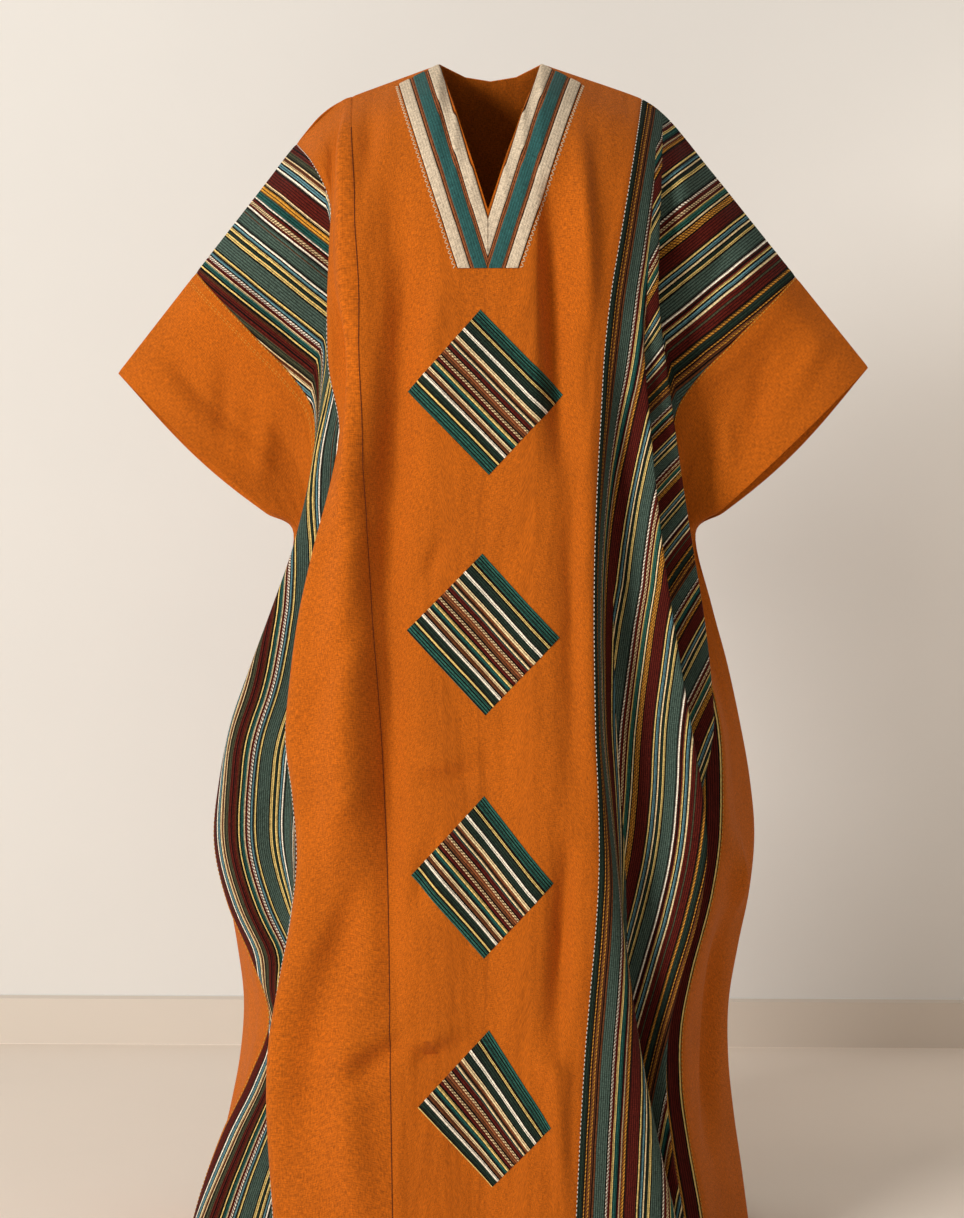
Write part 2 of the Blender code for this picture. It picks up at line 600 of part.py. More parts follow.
def build():
    for obj in list(bpy.data.objects):
        bpy.data.objects.remove(obj, do_unlink=True)
    robe = bpy.data.collections.new("grand_boubou_robe")
    bpy.context.scene.collection.children.link(robe)

    front, front_at = sheet_of(FRONT_LEFT, FRONT_RIGHT, True)
    back, back_at = sheet_of(BACK_LEFT, BACK_RIGHT, False)
    ahead, behind = seam_frames(front, back)
    front_sheet = (front, *ahead)
    back_sheet = (back, *behind)

    seams = ("left_side", "left_gold_seam", "left_stripe_seam")
    seams += ("left_bust_seam", "right_stripe_seam", "right_gold_seam", "right_side")
    front_names = (
        ("front_outer_left", "orange"),
        ("front_stripe_left", "stripe"),
        ("front_side_left", "orange"),
        ("front_centre", "orange"),
        ("front_stripe_right", "stripe"),
        ("front_outer_right", "orange"),
    )
    for (name, colour), start, end in zip(front_names, seams, seams[1:]):
        if "outer" in name:
            outer_panel(name, front_sheet, front_at[start], front_at[end], True, robe)
            continue
        panel(name, front_sheet, front_at[start], front_at[end], True, colour, robe)
    seams = tuple(seam for seam in seams if seam != "left_bust_seam")
    back_names = (
        ("back_outer_left", "orange"),
        ("back_stripe_left", "stripe"),
        ("back_centre", "orange"),
        ("back_stripe_right", "stripe"),
        ("back_outer_right", "orange"),
    )
    for (name, colour), start, end in zip(back_names, seams, seams[1:]):
        if "outer" in name:
            outer_panel(name, back_sheet, back_at[start], back_at[end], False, robe)
            continue
        panel(name, back_sheet, back_at[start], back_at[end], False, colour, robe)

    span = (front_at["left_bust_seam"], front_at["right_stripe_seam"])
    on_panel = CLOTH / 2 + SEAM_GAP
    on_band = on_panel + TRIM + SEAM_GAP
    for word, side in (("left", -1), ("right", 1)):
        name = f"neckband_{word}"
        front_band(name, side, 0.0, 1.0, on_panel, "ochre", front_sheet, span, robe)
        for tape, start, end, colour in TAPES:
            name = f"tape_{tape}_{word}"
            front_band(name, side, start, end, on_band, colour, front_sheet, span, robe)
    span = (back_at["left_stripe_seam"], back_at["right_stripe_seam"])
    back_band("neckband_back", 0.0, 1.0, on_panel, "ochre", back_sheet, span, robe)
    for tape, start, end, colour in TAPES:
        back_band(f"tape_{tape}_back", start, end, on_band, colour, back_sheet, span, robe)

    span = (front_at["left_bust_seam"], front_at["right_stripe_seam"])
    for number, (x, z, *corners) in enumerate(PATCHES, 1):
        corners = [(x + across_x, z + up) for across_x, up in corners]
        planes = [
            side_plane(start, end, (x, z)) for start, end in zip(corners, corners[1:] + corners[:1])
        ]
        name = f"diamond_patch_{number}"
        cut_from_sheet(name, front_sheet, *span, planes, on_panel, "stripe", robe)


build()
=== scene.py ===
"""Grand boubou robe: one very wide cloth hung from the shoulders, with striped side
panels, a taped neckband and four diamond patches.

The fold tables say where the cloth hangs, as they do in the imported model. Here the
cloth is drawn on a finer grid, with its creases, seams, stitches and weave.
Left and right are those of someone who looks at the front.
"""

import functools
import math

import bmesh
import bpy
import numpy as np
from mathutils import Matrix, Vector
from mathutils.bvhtree import BVHTree


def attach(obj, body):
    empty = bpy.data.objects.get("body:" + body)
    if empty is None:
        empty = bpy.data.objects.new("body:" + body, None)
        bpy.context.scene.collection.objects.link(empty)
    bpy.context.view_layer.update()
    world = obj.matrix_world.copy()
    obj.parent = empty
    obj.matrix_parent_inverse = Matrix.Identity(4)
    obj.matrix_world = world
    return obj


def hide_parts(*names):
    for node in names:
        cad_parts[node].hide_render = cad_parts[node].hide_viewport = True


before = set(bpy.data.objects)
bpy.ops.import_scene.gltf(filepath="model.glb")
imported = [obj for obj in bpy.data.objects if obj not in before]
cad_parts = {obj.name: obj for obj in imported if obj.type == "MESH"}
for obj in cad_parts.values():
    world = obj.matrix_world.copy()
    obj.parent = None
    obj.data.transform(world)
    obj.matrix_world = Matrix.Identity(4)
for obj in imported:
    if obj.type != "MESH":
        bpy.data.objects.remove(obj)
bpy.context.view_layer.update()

bl_info = {
    "name": "Grand Boubou Robe",
    "version": (1, 0, 0),
    "blender": (4, 5, 0),
    "location": "View3D > Sidebar > Robe",
    "description": "Builds a grand boubou robe over its packed model",
    "category": "Object",
}

CLOTH = 0.0016  # thickness of the panels
TRIM = 0.0010  # thickness of the neckband, its tapes and the patches
SEAM_GAP = 0.0003  # space between neighbouring pieces
BUST = -0.62  # height of the underarm, where the cloth closes to a ring
LEVELS = (BUST, -0.80, -1.00, -1.25, -1.53)  # heights of the ring sections, hem last
SHOULDER_ROWS = 8  # rows from the shoulder line to the underarm
SKIRT_ROWS = 12  # rows from the underarm to the hem
CHEST_ROUND = 0.075  # distance over which the cloth turns down at the chest
SLEEVE_ROUND = 0.030  # the same, along a sleeve
CUFF_FRONT = 0.046  # how far the front of a cuff bows forward
CUFF_BACK = 0.056  # how far the back of a cuff bows back
CUFF_SAG = 0.018  # how far the back edge of a cuff hangs below its front edge
BEND_ROUND = 0.050  # softness of the bend between sleeve and body
CHEST_END = 0.24  # distance along the upper edge where the chest ends and the sleeve starts
SIDE_RISE = 0.018  # how far above the underarm the side column closes
CUFF_FULLNESS = 0.8  # below 1, the cuff's bow is fuller near its ends
ROW_SPREAD = 1.2  # above 1, the rows stand closer together near the shoulder
SEAM_THINNING = 0.25  # share of a panel's thickness that is left at its seams
EDGE_HEIGHT = 0.35  # share of a trim's thickness that is left at its edges
SHARP_EDGE = 60  # degrees between two faces from which their edge is shown sharp

V_DEPTH = 0.196  # depth of the neck at the front
V_HALF = 0.066  # half the width of the neck along the shoulder
BACK_NECK = 0.018  # depth of the neck at the back

BAND_TOP = (0.0645, -0.0010, 0.1165, -0.0285)  # inner x, z and outer x, z at the shoulder
BAND_FOOT = (0.0025, -0.1963, 0.0399, -0.2626)  # the same at the foot of the V
BAND_END = -0.2680  # height of the band's straight lower edge
BAND_WIDTH = 0.0400  # width of the band, square to its edges
BACK_LIFT = 0.0020  # extra room under the back band, which bends round the neck
# Tapes across the band, as shares of its width from the inner edge.
TAPES = (
    # name, from, to, colour
    ("cream_inner", 0.02, 0.27, "cream"),
    ("teal", 0.36, 0.64, "teal"),
    ("cream_outer", 0.73, 0.98, "cream"),
)

# Centre x, z and the four corners of each patch as x and z from that centre.
PATCHES = (
    # x, z, top (x, z), right, bottom, left
    (-0.0033, -0.4199, (-0.006, 0.101), (0.097, -0.004), (0.005, -0.103), (-0.096, 0.000)),
    (-0.0043, -0.7208, (-0.002, 0.101), (0.093, -0.002), (0.002, -0.098), (-0.095, 0.006)),
    (-0.0056, -1.0179, (0.002, 0.100), (0.087, -0.006), (0.002, -0.100), (-0.088, 0.002)),
    (-0.0019, -1.3070, (0.005, 0.101), (0.082, -0.015), (0.009, -0.092), (-0.083, 0.007)),
)

# The upper edge: the shoulder and the top of the sleeve, as distance along it, x, z.
LEFT_EDGE = (
    (0.000, 0.0000, 0.0000),
    (0.066, 0.0645, 0.0000),
    (0.122, 0.1157, -0.0234),
    (0.195, 0.1860, -0.0430),
    (0.238, 0.2180, -0.0640),
    (0.285, 0.2520, -0.1040),
    (0.650, 0.4830, -0.3950),
)
RIGHT_EDGE = (
    (0.000, 0.0000, 0.0000),
    (0.066, 0.0660, 0.0000),
    (0.122, 0.1180, -0.0200),
    (0.203, 0.1950, -0.0450),
    (0.245, 0.2290, -0.0690),
    (0.655, 0.4880, -0.3880),
)

# Folds, from the centre out: ridges stand out and valleys lie between them.
# edge: distance along the upper edge. bend: x, y, z where the column turns down.
# Then x and y at the five levels. x is outward, and y is forward when negative.
# cells: grid cells between this column and the next.
FRONT_LEFT = (
    # name, edge, bend,
    # bust, waist, hip, knee, hem, cells
    ("centre", 0.000, (0.000, -0.146, -0.300),
     (0.000, -0.166), (0.000, -0.184), (0.000, -0.201), (0.000, -0.218), (0.000, -0.238), 1),
    ("neck_1", 0.022, (0.020, -0.146, -0.300),
     (0.019, -0.166), (0.019, -0.185), (0.018, -0.202), (0.018, -0.219), (0.017, -0.239), 1),
    ("neck_2", 0.044, (0.040, -0.146, -0.300),
     (0.039, -0.166), (0.038, -0.186), (0.035, -0.203), (0.034, -0.220), (0.033, -0.240), 1),
    ("neck_side", 0.066, (0.060, -0.145, -0.300),
     (0.059, -0.166), (0.056, -0.187), (0.054, -0.205), (0.052, -0.222), (0.050, -0.242), 2),
    ("bust_seam", 0.186, (0.157, -0.134, -0.270),
     (0.149, -0.162), (0.135, -0.188), (0.126, -0.208), (0.119, -0.226), (0.114, -0.247), 2),
    ("ridge_1", 0.200, (0.197, -0.112, -0.300),
     (0.227, -0.150), (0.248, -0.170), (0.229, -0.189), (0.270, -0.200), (0.251, -0.222), 1),
    ("stripe_seam", 0.281, (0.195, -0.086, -0.165),
     (0.217, -0.124), (0.252, -0.154), (0.237, -0.178), (0.273, -0.184), (0.262, -0.206), 2),
    ("valley_1", 0.340, (0.177, -0.060, -0.257),
     (0.165, -0.086), (0.219, -0.080), (0.255, -0.094), (0.233, -0.110), (0.277, -0.120), 3),
    ("ridge_2", 0.410, (0.197, -0.051, -0.337),
     (0.243, -0.065), (0.319, -0.060), (0.331, -0.088), (0.257, -0.098), (0.388, -0.104), 2),
    ("gold_seam", 0.487, (0.219, -0.041, -0.434),
     (0.226, -0.041), (0.316, -0.030), (0.355, -0.058), (0.282, -0.077), (0.394, -0.072), 1),
    ("valley_2", 0.565, (0.241, -0.028, -0.505),
     (0.215, -0.019), (0.276, -0.008), (0.336, -0.006), (0.314, -0.016), (0.372, -0.012), 2),
    ("side", 0.650, (0.370, 0.000, -0.497),
     (0.256, 0.000), (0.305, 0.020), (0.354, 0.045), (0.331, 0.050), (0.387, 0.056), 0),
)
# Where the left front is tucked in above the underarm and let out above the hem: pairs
# of a depth below the shoulder line and how far the column moves towards the centre.
TUCKS = (
    ("ridge_1", ((0.28, 0.000), (0.36, 0.028), (0.45, 0.047), (0.54, 0.020), (0.68, 0.000))),
    ("stripe_seam", ((0.38, 0.000), (0.45, 0.048), (0.50, 0.040), (0.56, 0.018), (0.68, 0.000))),
    ("ridge_2", ((1.25, 0.000), (1.30, -0.008), (1.36, -0.014), (1.44, -0.010), (1.53, 0.000))),
    ("gold_seam", ((1.25, 0.000), (1.30, -0.018), (1.36, -0.028), (1.44, -0.018), (1.53, 0.000))),
)
FRONT_RIGHT = (
    # name, edge, bend,
    # bust, waist, hip, knee, hem, cells
    ("centre", 0.000, (0.000, -0.146, -0.300),
     (0.000, -0.166), (0.000, -0.184), (0.000, -0.201), (0.000, -0.218), (0.000, -0.238), 1),
    ("neck_1", 0.022, (0.020, -0.147, -0.300),
     (0.019, -0.168), (0.019, -0.187), (0.018, -0.204), (0.018, -0.221), (0.017, -0.241), 1),
    ("neck_2", 0.044, (0.041, -0.148, -0.300),
     (0.039, -0.171), (0.038, -0.191), (0.036, -0.208), (0.035, -0.225), (0.033, -0.245), 1),
    ("neck_side", 0.066, (0.061, -0.149, -0.300),
     (0.058, -0.174), (0.056, -0.195), (0.055, -0.212), (0.053, -0.229), (0.049, -0.249), 3),
    ("stripe_seam", 0.203, (0.147, -0.128, -0.330),
     (0.130, -0.166), (0.132, -0.189), (0.138, -0.206), (0.120, -0.228), (0.106, -0.250), 1),
    ("ridge_1", 0.209, (0.160, -0.120, -0.330),
     (0.136, -0.142), (0.139, -0.158), (0.156, -0.190), (0.191, -0.209), (0.253, -0.222), 2),
    ("valley_1", 0.214, (0.174, -0.115, -0.320),
     (0.155, -0.106), (0.159, -0.115), (0.172, -0.128), (0.182, -0.146), (0.231, -0.164), 2),
    ("ridge_2", 0.220, (0.188, -0.110, -0.310),
     (0.216, -0.130), (0.247, -0.142), (0.274, -0.150), (0.224, -0.160), (0.258, -0.166), 2),
    ("valley_2", 0.226, (0.197, -0.104, -0.305),
     (0.184, -0.088), (0.209, -0.092), (0.233, -0.098), (0.197, -0.118), (0.234, -0.124), 2),
    ("ridge_3", 0.235, (0.210, -0.098, -0.300),
     (0.257, -0.078), (0.289, -0.077), (0.256, -0.088), (0.213, -0.104), (0.250, -0.108), 2),
    ("valley_3", 0.330, (0.189, -0.060, -0.223),
     (0.190, -0.056), (0.249, -0.054), (0.269, -0.078), (0.225, -0.094), (0.260, -0.099), 2),
    ("sleeve_mid", 0.410, (0.209, -0.050, -0.323),
     (0.214, -0.047), (0.267, -0.044), (0.283, -0.074), (0.236, -0.091), (0.272, -0.095), 2),
    ("gold_seam", 0.505, (0.231, -0.041, -0.437),
     (0.236, -0.038), (0.290, -0.036), (0.297, -0.070), (0.247, -0.090), (0.284, -0.092), 1),
    ("valley_4", 0.580, (0.258, -0.028, -0.504),
     (0.229, -0.018), (0.296, -0.006), (0.320, -0.022), (0.275, -0.030), (0.309, -0.034), 2),
    ("side", 0.655, (0.378, 0.000, -0.496),
     (0.267, 0.000), (0.317, 0.020), (0.349, 0.032), (0.316, 0.040), (0.347, 0.050), 0),
)
BACK_LEFT = (
    # name, edge, bend,
    # bust, waist, hip, knee, hem, cells
    ("centre", 0.000, (0.000, 0.122, -0.300),
     (0.000, 0.138), (0.000, 0.160), (0.000, 0.184), (0.000, 0.210), (0.000, 0.236), 1),
    ("neck_1", 0.033, (0.032, 0.123, -0.300),
     (0.031, 0.139), (0.031, 0.161), (0.031, 0.186), (0.031, 0.213), (0.032, 0.240), 1),
    ("neck_side", 0.066, (0.064, 0.123, -0.300),
     (0.062, 0.142), (0.063, 0.165), (0.064, 0.190), (0.064, 0.218), (0.066, 0.246), 2),
    ("ridge_1", 0.170, (0.150, 0.118, -0.300),
     (0.134, 0.148), (0.143, 0.176), (0.152, 0.201), (0.157, 0.229), (0.168, 0.256), 2),
    ("valley_1", 0.202, (0.187, 0.108, -0.300),
     (0.160, 0.098), (0.178, 0.121), (0.192, 0.145), (0.198, 0.166), (0.213, 0.186), 2),
    ("ridge_2", 0.236, (0.209, 0.096, -0.290),
     (0.226, 0.106), (0.246, 0.136), (0.262, 0.159), (0.260, 0.186), (0.288, 0.212), 1),
    ("stripe_seam", 0.281, (0.203, 0.070, -0.160),
     (0.196, 0.076), (0.222, 0.100), (0.246, 0.122), (0.250, 0.146), (0.280, 0.166), 1),
    ("valley_2", 0.350, (0.184, 0.053, -0.267),
     (0.186, 0.064), (0.222, 0.076), (0.256, 0.092), (0.256, 0.114), (0.290, 0.126), 2),
    ("ridge_3", 0.420, (0.201, 0.049, -0.349),
     (0.246, 0.060), (0.302, 0.084), (0.336, 0.105), (0.318, 0.125), (0.366, 0.140), 2),
    ("gold_seam", 0.487, (0.222, 0.043, -0.434),
     (0.228, 0.040), (0.284, 0.056), (0.326, 0.076), (0.304, 0.092), (0.356, 0.104), 1),
    ("valley_3", 0.565, (0.243, 0.030, -0.505),
     (0.216, 0.019), (0.272, 0.042), (0.322, 0.060), (0.298, 0.072), (0.350, 0.082), 2),
    ("side", 0.650, (0.370, 0.000, -0.497),
     (0.256, 0.000), (0.304, 0.020), (0.350, 0.045), (0.326, 0.050), (0.384, 0.056), 0),
)
BACK_RIGHT = (
    # name, edge, bend,
    # bust, waist, hip, knee, hem, cells
    ("centre", 0.000, (0.000, 0.122, -0.300),
     (0.000, 0.138), (0.000, 0.160), (0.000, 0.184), (0.000, 0.210), (0.000, 0.236), 1),
    ("neck_1", 0.033, (0.032, 0.122, -0.300),
     (0.031, 0.137), (0.031, 0.159), (0.031, 0.183), (0.031, 0.208), (0.032, 0.234), 1),
    ("neck_side", 0.066, (0.064, 0.122, -0.300),
     (0.062, 0.138), (0.063, 0.160), (0.063, 0.184), (0.063, 0.209), (0.065, 0.235), 2),
    ("ridge_1", 0.150, (0.140, 0.118, -0.300),
     (0.124, 0.148), (0.128, 0.174), (0.134, 0.199), (0.136, 0.226), (0.144, 0.252), 2),
    ("stripe_seam", 0.203, (0.184, 0.102, -0.300),
     (0.158, 0.104), (0.166, 0.128), (0.176, 0.150), (0.178, 0.172), (0.190, 0.194), 2),
    ("ridge_2", 0.238, (0.214, 0.096, -0.290),
     (0.228, 0.106), (0.244, 0.134), (0.254, 0.156), (0.244, 0.180), (0.262, 0.204), 2),
    ("valley_2", 0.330, (0.195, 0.054, -0.220),
     (0.190, 0.066), (0.214, 0.080), (0.236, 0.096), (0.228, 0.116), (0.250, 0.128), 2),
    ("ridge_3", 0.420, (0.216, 0.049, -0.334),
     (0.254, 0.060), (0.300, 0.084), (0.322, 0.104), (0.300, 0.124), (0.330, 0.138), 2),
    ("gold_seam", 0.505, (0.234, 0.043, -0.437),
     (0.238, 0.038), (0.286, 0.052), (0.316, 0.070), (0.286, 0.084), (0.318, 0.098), 1),
    ("valley_3", 0.580, (0.260, 0.030, -0.504),
     (0.228, 0.018), (0.282, 0.038), (0.314, 0.052), (0.282, 0.062), (0.312, 0.074), 2),
    ("side", 0.655, (0.378, 0.000, -0.496),
     (0.267, 0.000), (0.316, 0.020), (0.346, 0.032), (0.312, 0.040), (0.344, 0.050), 0),
)

FINE = 8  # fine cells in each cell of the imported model's grid, both ways
SHOULDER_FINE = SHOULDER_ROWS * FINE  # fine rows above the underarm
BAND_STEPS = 96  # steps along each length of the neckband
BAND_LINES = 17  # lines across the neckband
TAPE_STEPS = (0.0, 0.05, 0.12, 0.25, 0.5, 0.75, 0.88, 0.95, 1.0)  # lines across a tape
PATCH_STEPS = 40  # steps along each side of a patch
CREASE_FADE = FINE * 1.5  # fine cells over which a crease fades in at its borders

# Soft creases that the folds leave out, drawn as a line on the front or the back.
# Between the columns named, the cloth moves out by the height (in when negative).
CREASES = (
    # sheet, first column, last column, creases: from x, z, to x, z, half width, height
    ("front", "left_ridge_1", "right_centre", (
        (-0.100, -0.280, -0.128, -0.660, 0.026, -0.012),
        (-0.122, -0.600, -0.118, -1.220, 0.024, -0.010),
        (-0.190, -0.100, -0.168, -0.600, 0.030, 0.009),
        (-0.170, -0.500, -0.185, -1.050, 0.034, 0.012),
        (-0.165, -0.980, -0.245, -1.360, 0.036, -0.014),
        (-0.200, -1.120, -0.150, -1.500, 0.030, 0.008),
        (-0.186, -0.050, -0.192, -0.165, 0.008, 0.005),
        (-0.150, -0.045, -0.160, -0.190, 0.014, -0.005),
        (-0.205, -0.085, -0.212, -0.150, 0.008, -0.004),
        (-0.120, -0.140, -0.105, -0.340, 0.020, -0.004),
        (-0.230, -0.580, -0.150, -0.510, 0.010, 0.003),
        (-0.235, -0.860, -0.160, -0.700, 0.014, -0.004),
        (-0.245, -1.160, -0.175, -1.020, 0.014, 0.004),
        (-0.225, -0.660, -0.150, -0.560, 0.012, -0.003),
        (-0.215, -1.250, -0.105, -1.200, 0.012, 0.005),
        (-0.195, -1.290, -0.115, -1.230, 0.011, -0.005),
        (-0.225, -0.980, -0.150, -0.900, 0.013, 0.003),
    )),
    ("front", "left_neck_side", "right_stripe_seam", (
        (0.078, -0.170, 0.092, -0.500, 0.017, -0.011),
        (0.112, -0.100, 0.128, -0.340, 0.013, 0.006),
        (0.105, -0.460, 0.112, -0.920, 0.022, -0.006),
        (0.100, -0.980, 0.085, -1.220, 0.016, -0.008),
        (0.060, -1.240, 0.110, -1.270, 0.010, 0.003),
        (0.085, -1.260, 0.110, -1.460, 0.014, 0.005),
    )),
    ("front", "left_bust_seam", "right_neck_side", (
        (-0.115, -1.225, -0.030, -1.205, 0.009, 0.004),
        (-0.105, -1.245, -0.040, -1.230, 0.008, -0.004),
        (-0.090, -0.880, -0.015, -0.865, 0.011, 0.003),
        (-0.080, -0.900, -0.010, -0.895, 0.010, -0.003),
        (-0.085, -0.660, -0.050, -0.600, 0.010, -0.003),
        (-0.095, -1.070, -0.070, -0.980, 0.016, -0.004),
        (-0.060, -0.300, -0.085, -0.400, 0.012, 0.003),
    )),
    ("front", "left_side", "left_gold_seam", (
        (-0.335, -0.330, -0.345, -0.500, 0.012, -0.0022),
        (-0.275, -0.400, -0.300, -0.550, 0.014, 0.003),
        (-0.420, -0.420, -0.280, -0.520, 0.014, 0.0022),
        (-0.430, -0.330, -0.350, -0.470, 0.016, -0.0018),
    )),
    ("front", "left_gold_seam", "left_stripe_seam", (
        (-0.300, -0.160, -0.220, -0.260, 0.014, 0.005),
        (-0.340, -0.240, -0.240, -0.360, 0.013, -0.004),
        (-0.360, -0.270, -0.250, -0.400, 0.012, 0.004),
    )),
    ("front", "right_gold_seam", "right_side", (
        (0.362, -0.300, 0.335, -0.500, 0.014, -0.003),
        (0.430, -0.340, 0.370, -0.460, 0.016, 0.0022),
        (0.300, -0.440, 0.310, -0.540, 0.012, 0.004),
        (0.300, -0.960, 0.332, -1.100, 0.012, 0.008),
        (0.300, -1.100, 0.285, -1.400, 0.012, -0.007),
    )),
    ("front", "right_ridge_3", "right_gold_seam", (
        (0.250, -0.120, 0.235, -0.260, 0.014, 0.004),
        (0.330, -0.200, 0.250, -0.330, 0.014, -0.004),
        (0.350, -0.250, 0.270, -0.360, 0.012, 0.004),
    )),
    ("back", "left_ridge_1", "right_ridge_1", (
        (-0.030, -0.160, -0.050, -0.620, 0.030, 0.007),
        (0.060, -0.200, 0.050, -0.850, 0.028, -0.008),
        (-0.090, -0.300, -0.080, -1.100, 0.026, -0.009),
        (0.000, -0.700, -0.020, -1.500, 0.032, 0.010),
        (0.090, -0.620, 0.095, -1.460, 0.026, 0.009),
        (0.045, -0.950, 0.040, -1.500, 0.022, -0.008),
        (-0.100, -0.070, -0.060, -0.240, 0.014, 0.004),
        (0.110, -0.070, 0.080, -0.260, 0.014, 0.004),
        (-0.120, -0.980, -0.040, -0.930, 0.012, 0.004),
        (0.020, -0.800, 0.090, -0.760, 0.012, 0.004),
    )),
    ("back", "left_side", "left_gold_seam", (
        (-0.350, -0.360, -0.330, -0.480, 0.014, -0.005),
        (-0.400, -0.400, -0.310, -0.500, 0.016, 0.005),
    )),
    ("back", "right_gold_seam", "right_side", (
        (0.360, -0.340, 0.330, -0.480, 0.015, -0.005),
        (0.410, -0.380, 0.320, -0.490, 0.016, 0.005),
    )),
    ("back", "left_gold_seam", "left_stripe_seam", (
        (-0.310, -0.180, -0.230, -0.280, 0.014, 0.005),
    )),
    ("back", "right_stripe_seam", "right_gold_seam", (
        (0.320, -0.180, 0.240, -0.300, 0.014, 0.005),
    )),
)

# Yarn colours of the woven stripes: red, green, blue as a screen shows them.
YARNS = {
    "maroon": (0.34, 0.09, 0.05),
    "moss": (0.27, 0.27, 0.19),
    "cream": (0.93, 0.82, 0.62),
    "brown": (0.40, 0.22, 0.11),
    "sky": (0.36, 0.52, 0.55),
    "black": (0.05, 0.025, 0.01),
    "white": (0.98, 0.93, 0.84),
    "gold": (0.84, 0.58, 0.20),
    "teal": (0.13, 0.33, 0.30),
    "slate": (0.28, 0.35, 0.31),
    "straw": (0.90, 0.77, 0.46),
    "pine": (0.13, 0.19, 0.15),
    "rust": (0.56, 0.32, 0.18),
    "jade": (0.17, 0.37, 0.32),
}


def stripe_table(text):
    """Rows of yarn, width in millimetres and 1 where the yarn is twisted."""
    rows = []
    for entry in text.split(", "):
        yarn, width, *twisted = entry.split()
        rows.append((yarn, float(width), len(twisted)))
    return tuple(rows)


# Stripes outwards from the stripe seam: yarn and width in millimetres.
LEFT_STRIPES = stripe_table(
    "maroon 4.8, black 2.1, maroon 5.1, moss 5.7, black 2.1, cream 1.8, brown 4.4, "
    "cream 3.5, black 2.1, sky 4.2, black 2.1, white 3.3, black 2.1, maroon 19.2, "
    "cream 2.6, black 2.1, gold 3.8, brown 0.8, gold 3, brown 0.9, teal 8.6, white 2.3, "
    "black 2.1, maroon 3.1, cream 4.6 twisted, maroon 3, white 2.7, black 2.1, "
    "slate 4.2, brown 1.6, slate 13.4, black 2.1, white 2.5, black 2.1, sky 2.7, "
    "black 2.1, straw 3.4, black 2.1, pine 3.3, straw 4.1, black 2.1, slate 18.9, "
    "black 2.1, straw 3, black 2.1, sky 2.9, black 2.2, white 3.6 twisted, maroon 4.2, "
    "cream 1.9, teal 4.7, black 2.1, straw 2.1, black 3, brown 2.6"
)
RIGHT_STRIPES = stripe_table(
    "pine 7.9, black 2.2, gold 1.9 twisted, black 1.6, brown 2.3, gold 2.4 twisted, "
    "brown 3.1, black 2.2, brown 2.7, slate 17.3, black 2.2, white 2.6 twisted, "
    "maroon 4.2, straw 3.2, teal 6.4, black 2.2, maroon 2, cream 1.8, maroon 1.8, "
    "gold 4.6 twisted, black 2.2, maroon 17.1, black 2.2, straw 2.6, black 2.2, sky 3, "
    "black 2.2, cream 2.5, black 2.2, pine 3.2, straw 3.3, black 2.2, slate 17.7, "
    "black 2.2, white 3.1 twisted, maroon 4.8, cream 3.6 twisted, maroon 3.4, straw 2.4, "
    "jade 5, black 2.2, cream 1.8, black 2.2, gold 7.2 twisted, black 2.2, maroon 17.3, "
    "black 2.2, straw 2.6, black 2.2, sky 3.3, black 2.2, cream 2.5, black 2.2, "
    "pine 3.6, straw 3.1, black 2.2, slate 17.9, black 2.2, white 3.1, maroon 2.2, "
    "black 2.2, maroon 2.4, straw 2.8, black 2.2, sky 3.7, black 2.2, cream 3.2, "
    "maroon 7.2, moss 2.4, maroon 11.6, black 2.2, gold 4.2 twisted"
)
PATCH_STRIPES = stripe_table(
    "jade 2.3, black 1.2, jade 2.3, black 1.2, jade 2.3, black 1.2, jade 2.3, black 1.2, "
    "black 1.9, straw 2.8, black 1.9, pine 6.9, black 1.9, white 3.9, pine 6.5, "
    "black 1.9, cream 4.1, rust 1.6, brown 2.2, black 1.9, cream 2.6, teal 1.8, "
    "maroon 4.5, black 1.9, cream 2.9 twisted, rust 3.8, brown 3.4, black 1.9, "
    "cream 2.8 twisted, maroon 4.2, black 1.9, straw 3.2, teal 4.4, black 2.6, "
    "cream 3.4, brown 4.6, black 1.9, white 3.8, pine 7, black 1.9, straw 2.8, "
    "black 1.9, jade 2.6, black 1.2, jade 2.6, black 1.2, jade 2.6, black 1.2, jade 2.6, "
    "black 1.2, jade 2.6"
)
# Bare stripes of the neckband, which show between its tapes.
BAND_STRIPES = stripe_table(
    "brown 10.6, black 0.9, rust 3.2, brown 10.8, rust 3, black 0.9, brown 11"
)
BODY_REPEAT = 1.3  # how much closer the stripes stand on the body than on the sleeve
RAMP_STOPS = 30  # stripes in one colour ramp, which holds 32 at most
# Where the cloth starts to hang, over how much, and by when, in shares of the rows
# above the underarm.
HANG_START, HANG_LENGTH, HANG_END = 0.72, 0.5, 1.05
# How the stripes of the left front run: depth where a change starts, and its length.
TO_BORDER = (0.74, 0.16)  # from along the stripe seam to along the gold seam
FROM_BORDER = (1.12, 0.14)  # and back
TO_SHARED = (1.16, 0.12)  # to an even share of the panel's width
# Soft rumples all over the cloth: turn, stretch down, scale and depth in metres.
RUMPLES = (
    (0.5, 0.45, 26.0, 0.0030), (-0.7, 0.50, 34.0, 0.0022), (0.1, 0.16, 14.0, 0.0090),
)
# Stripes of the right front that follow the seam: from column, to column, how much they
# lean towards the centre (across over down), and the height at which that starts.
RIGHT_FRONT_ZONES = (
    ("stripe_seam", "valley_1", 0.00, 0.00),
    ("valley_1", "valley_2", 0.14, -0.66),
    ("valley_2", "ridge_3", 0.50, -0.10),
)

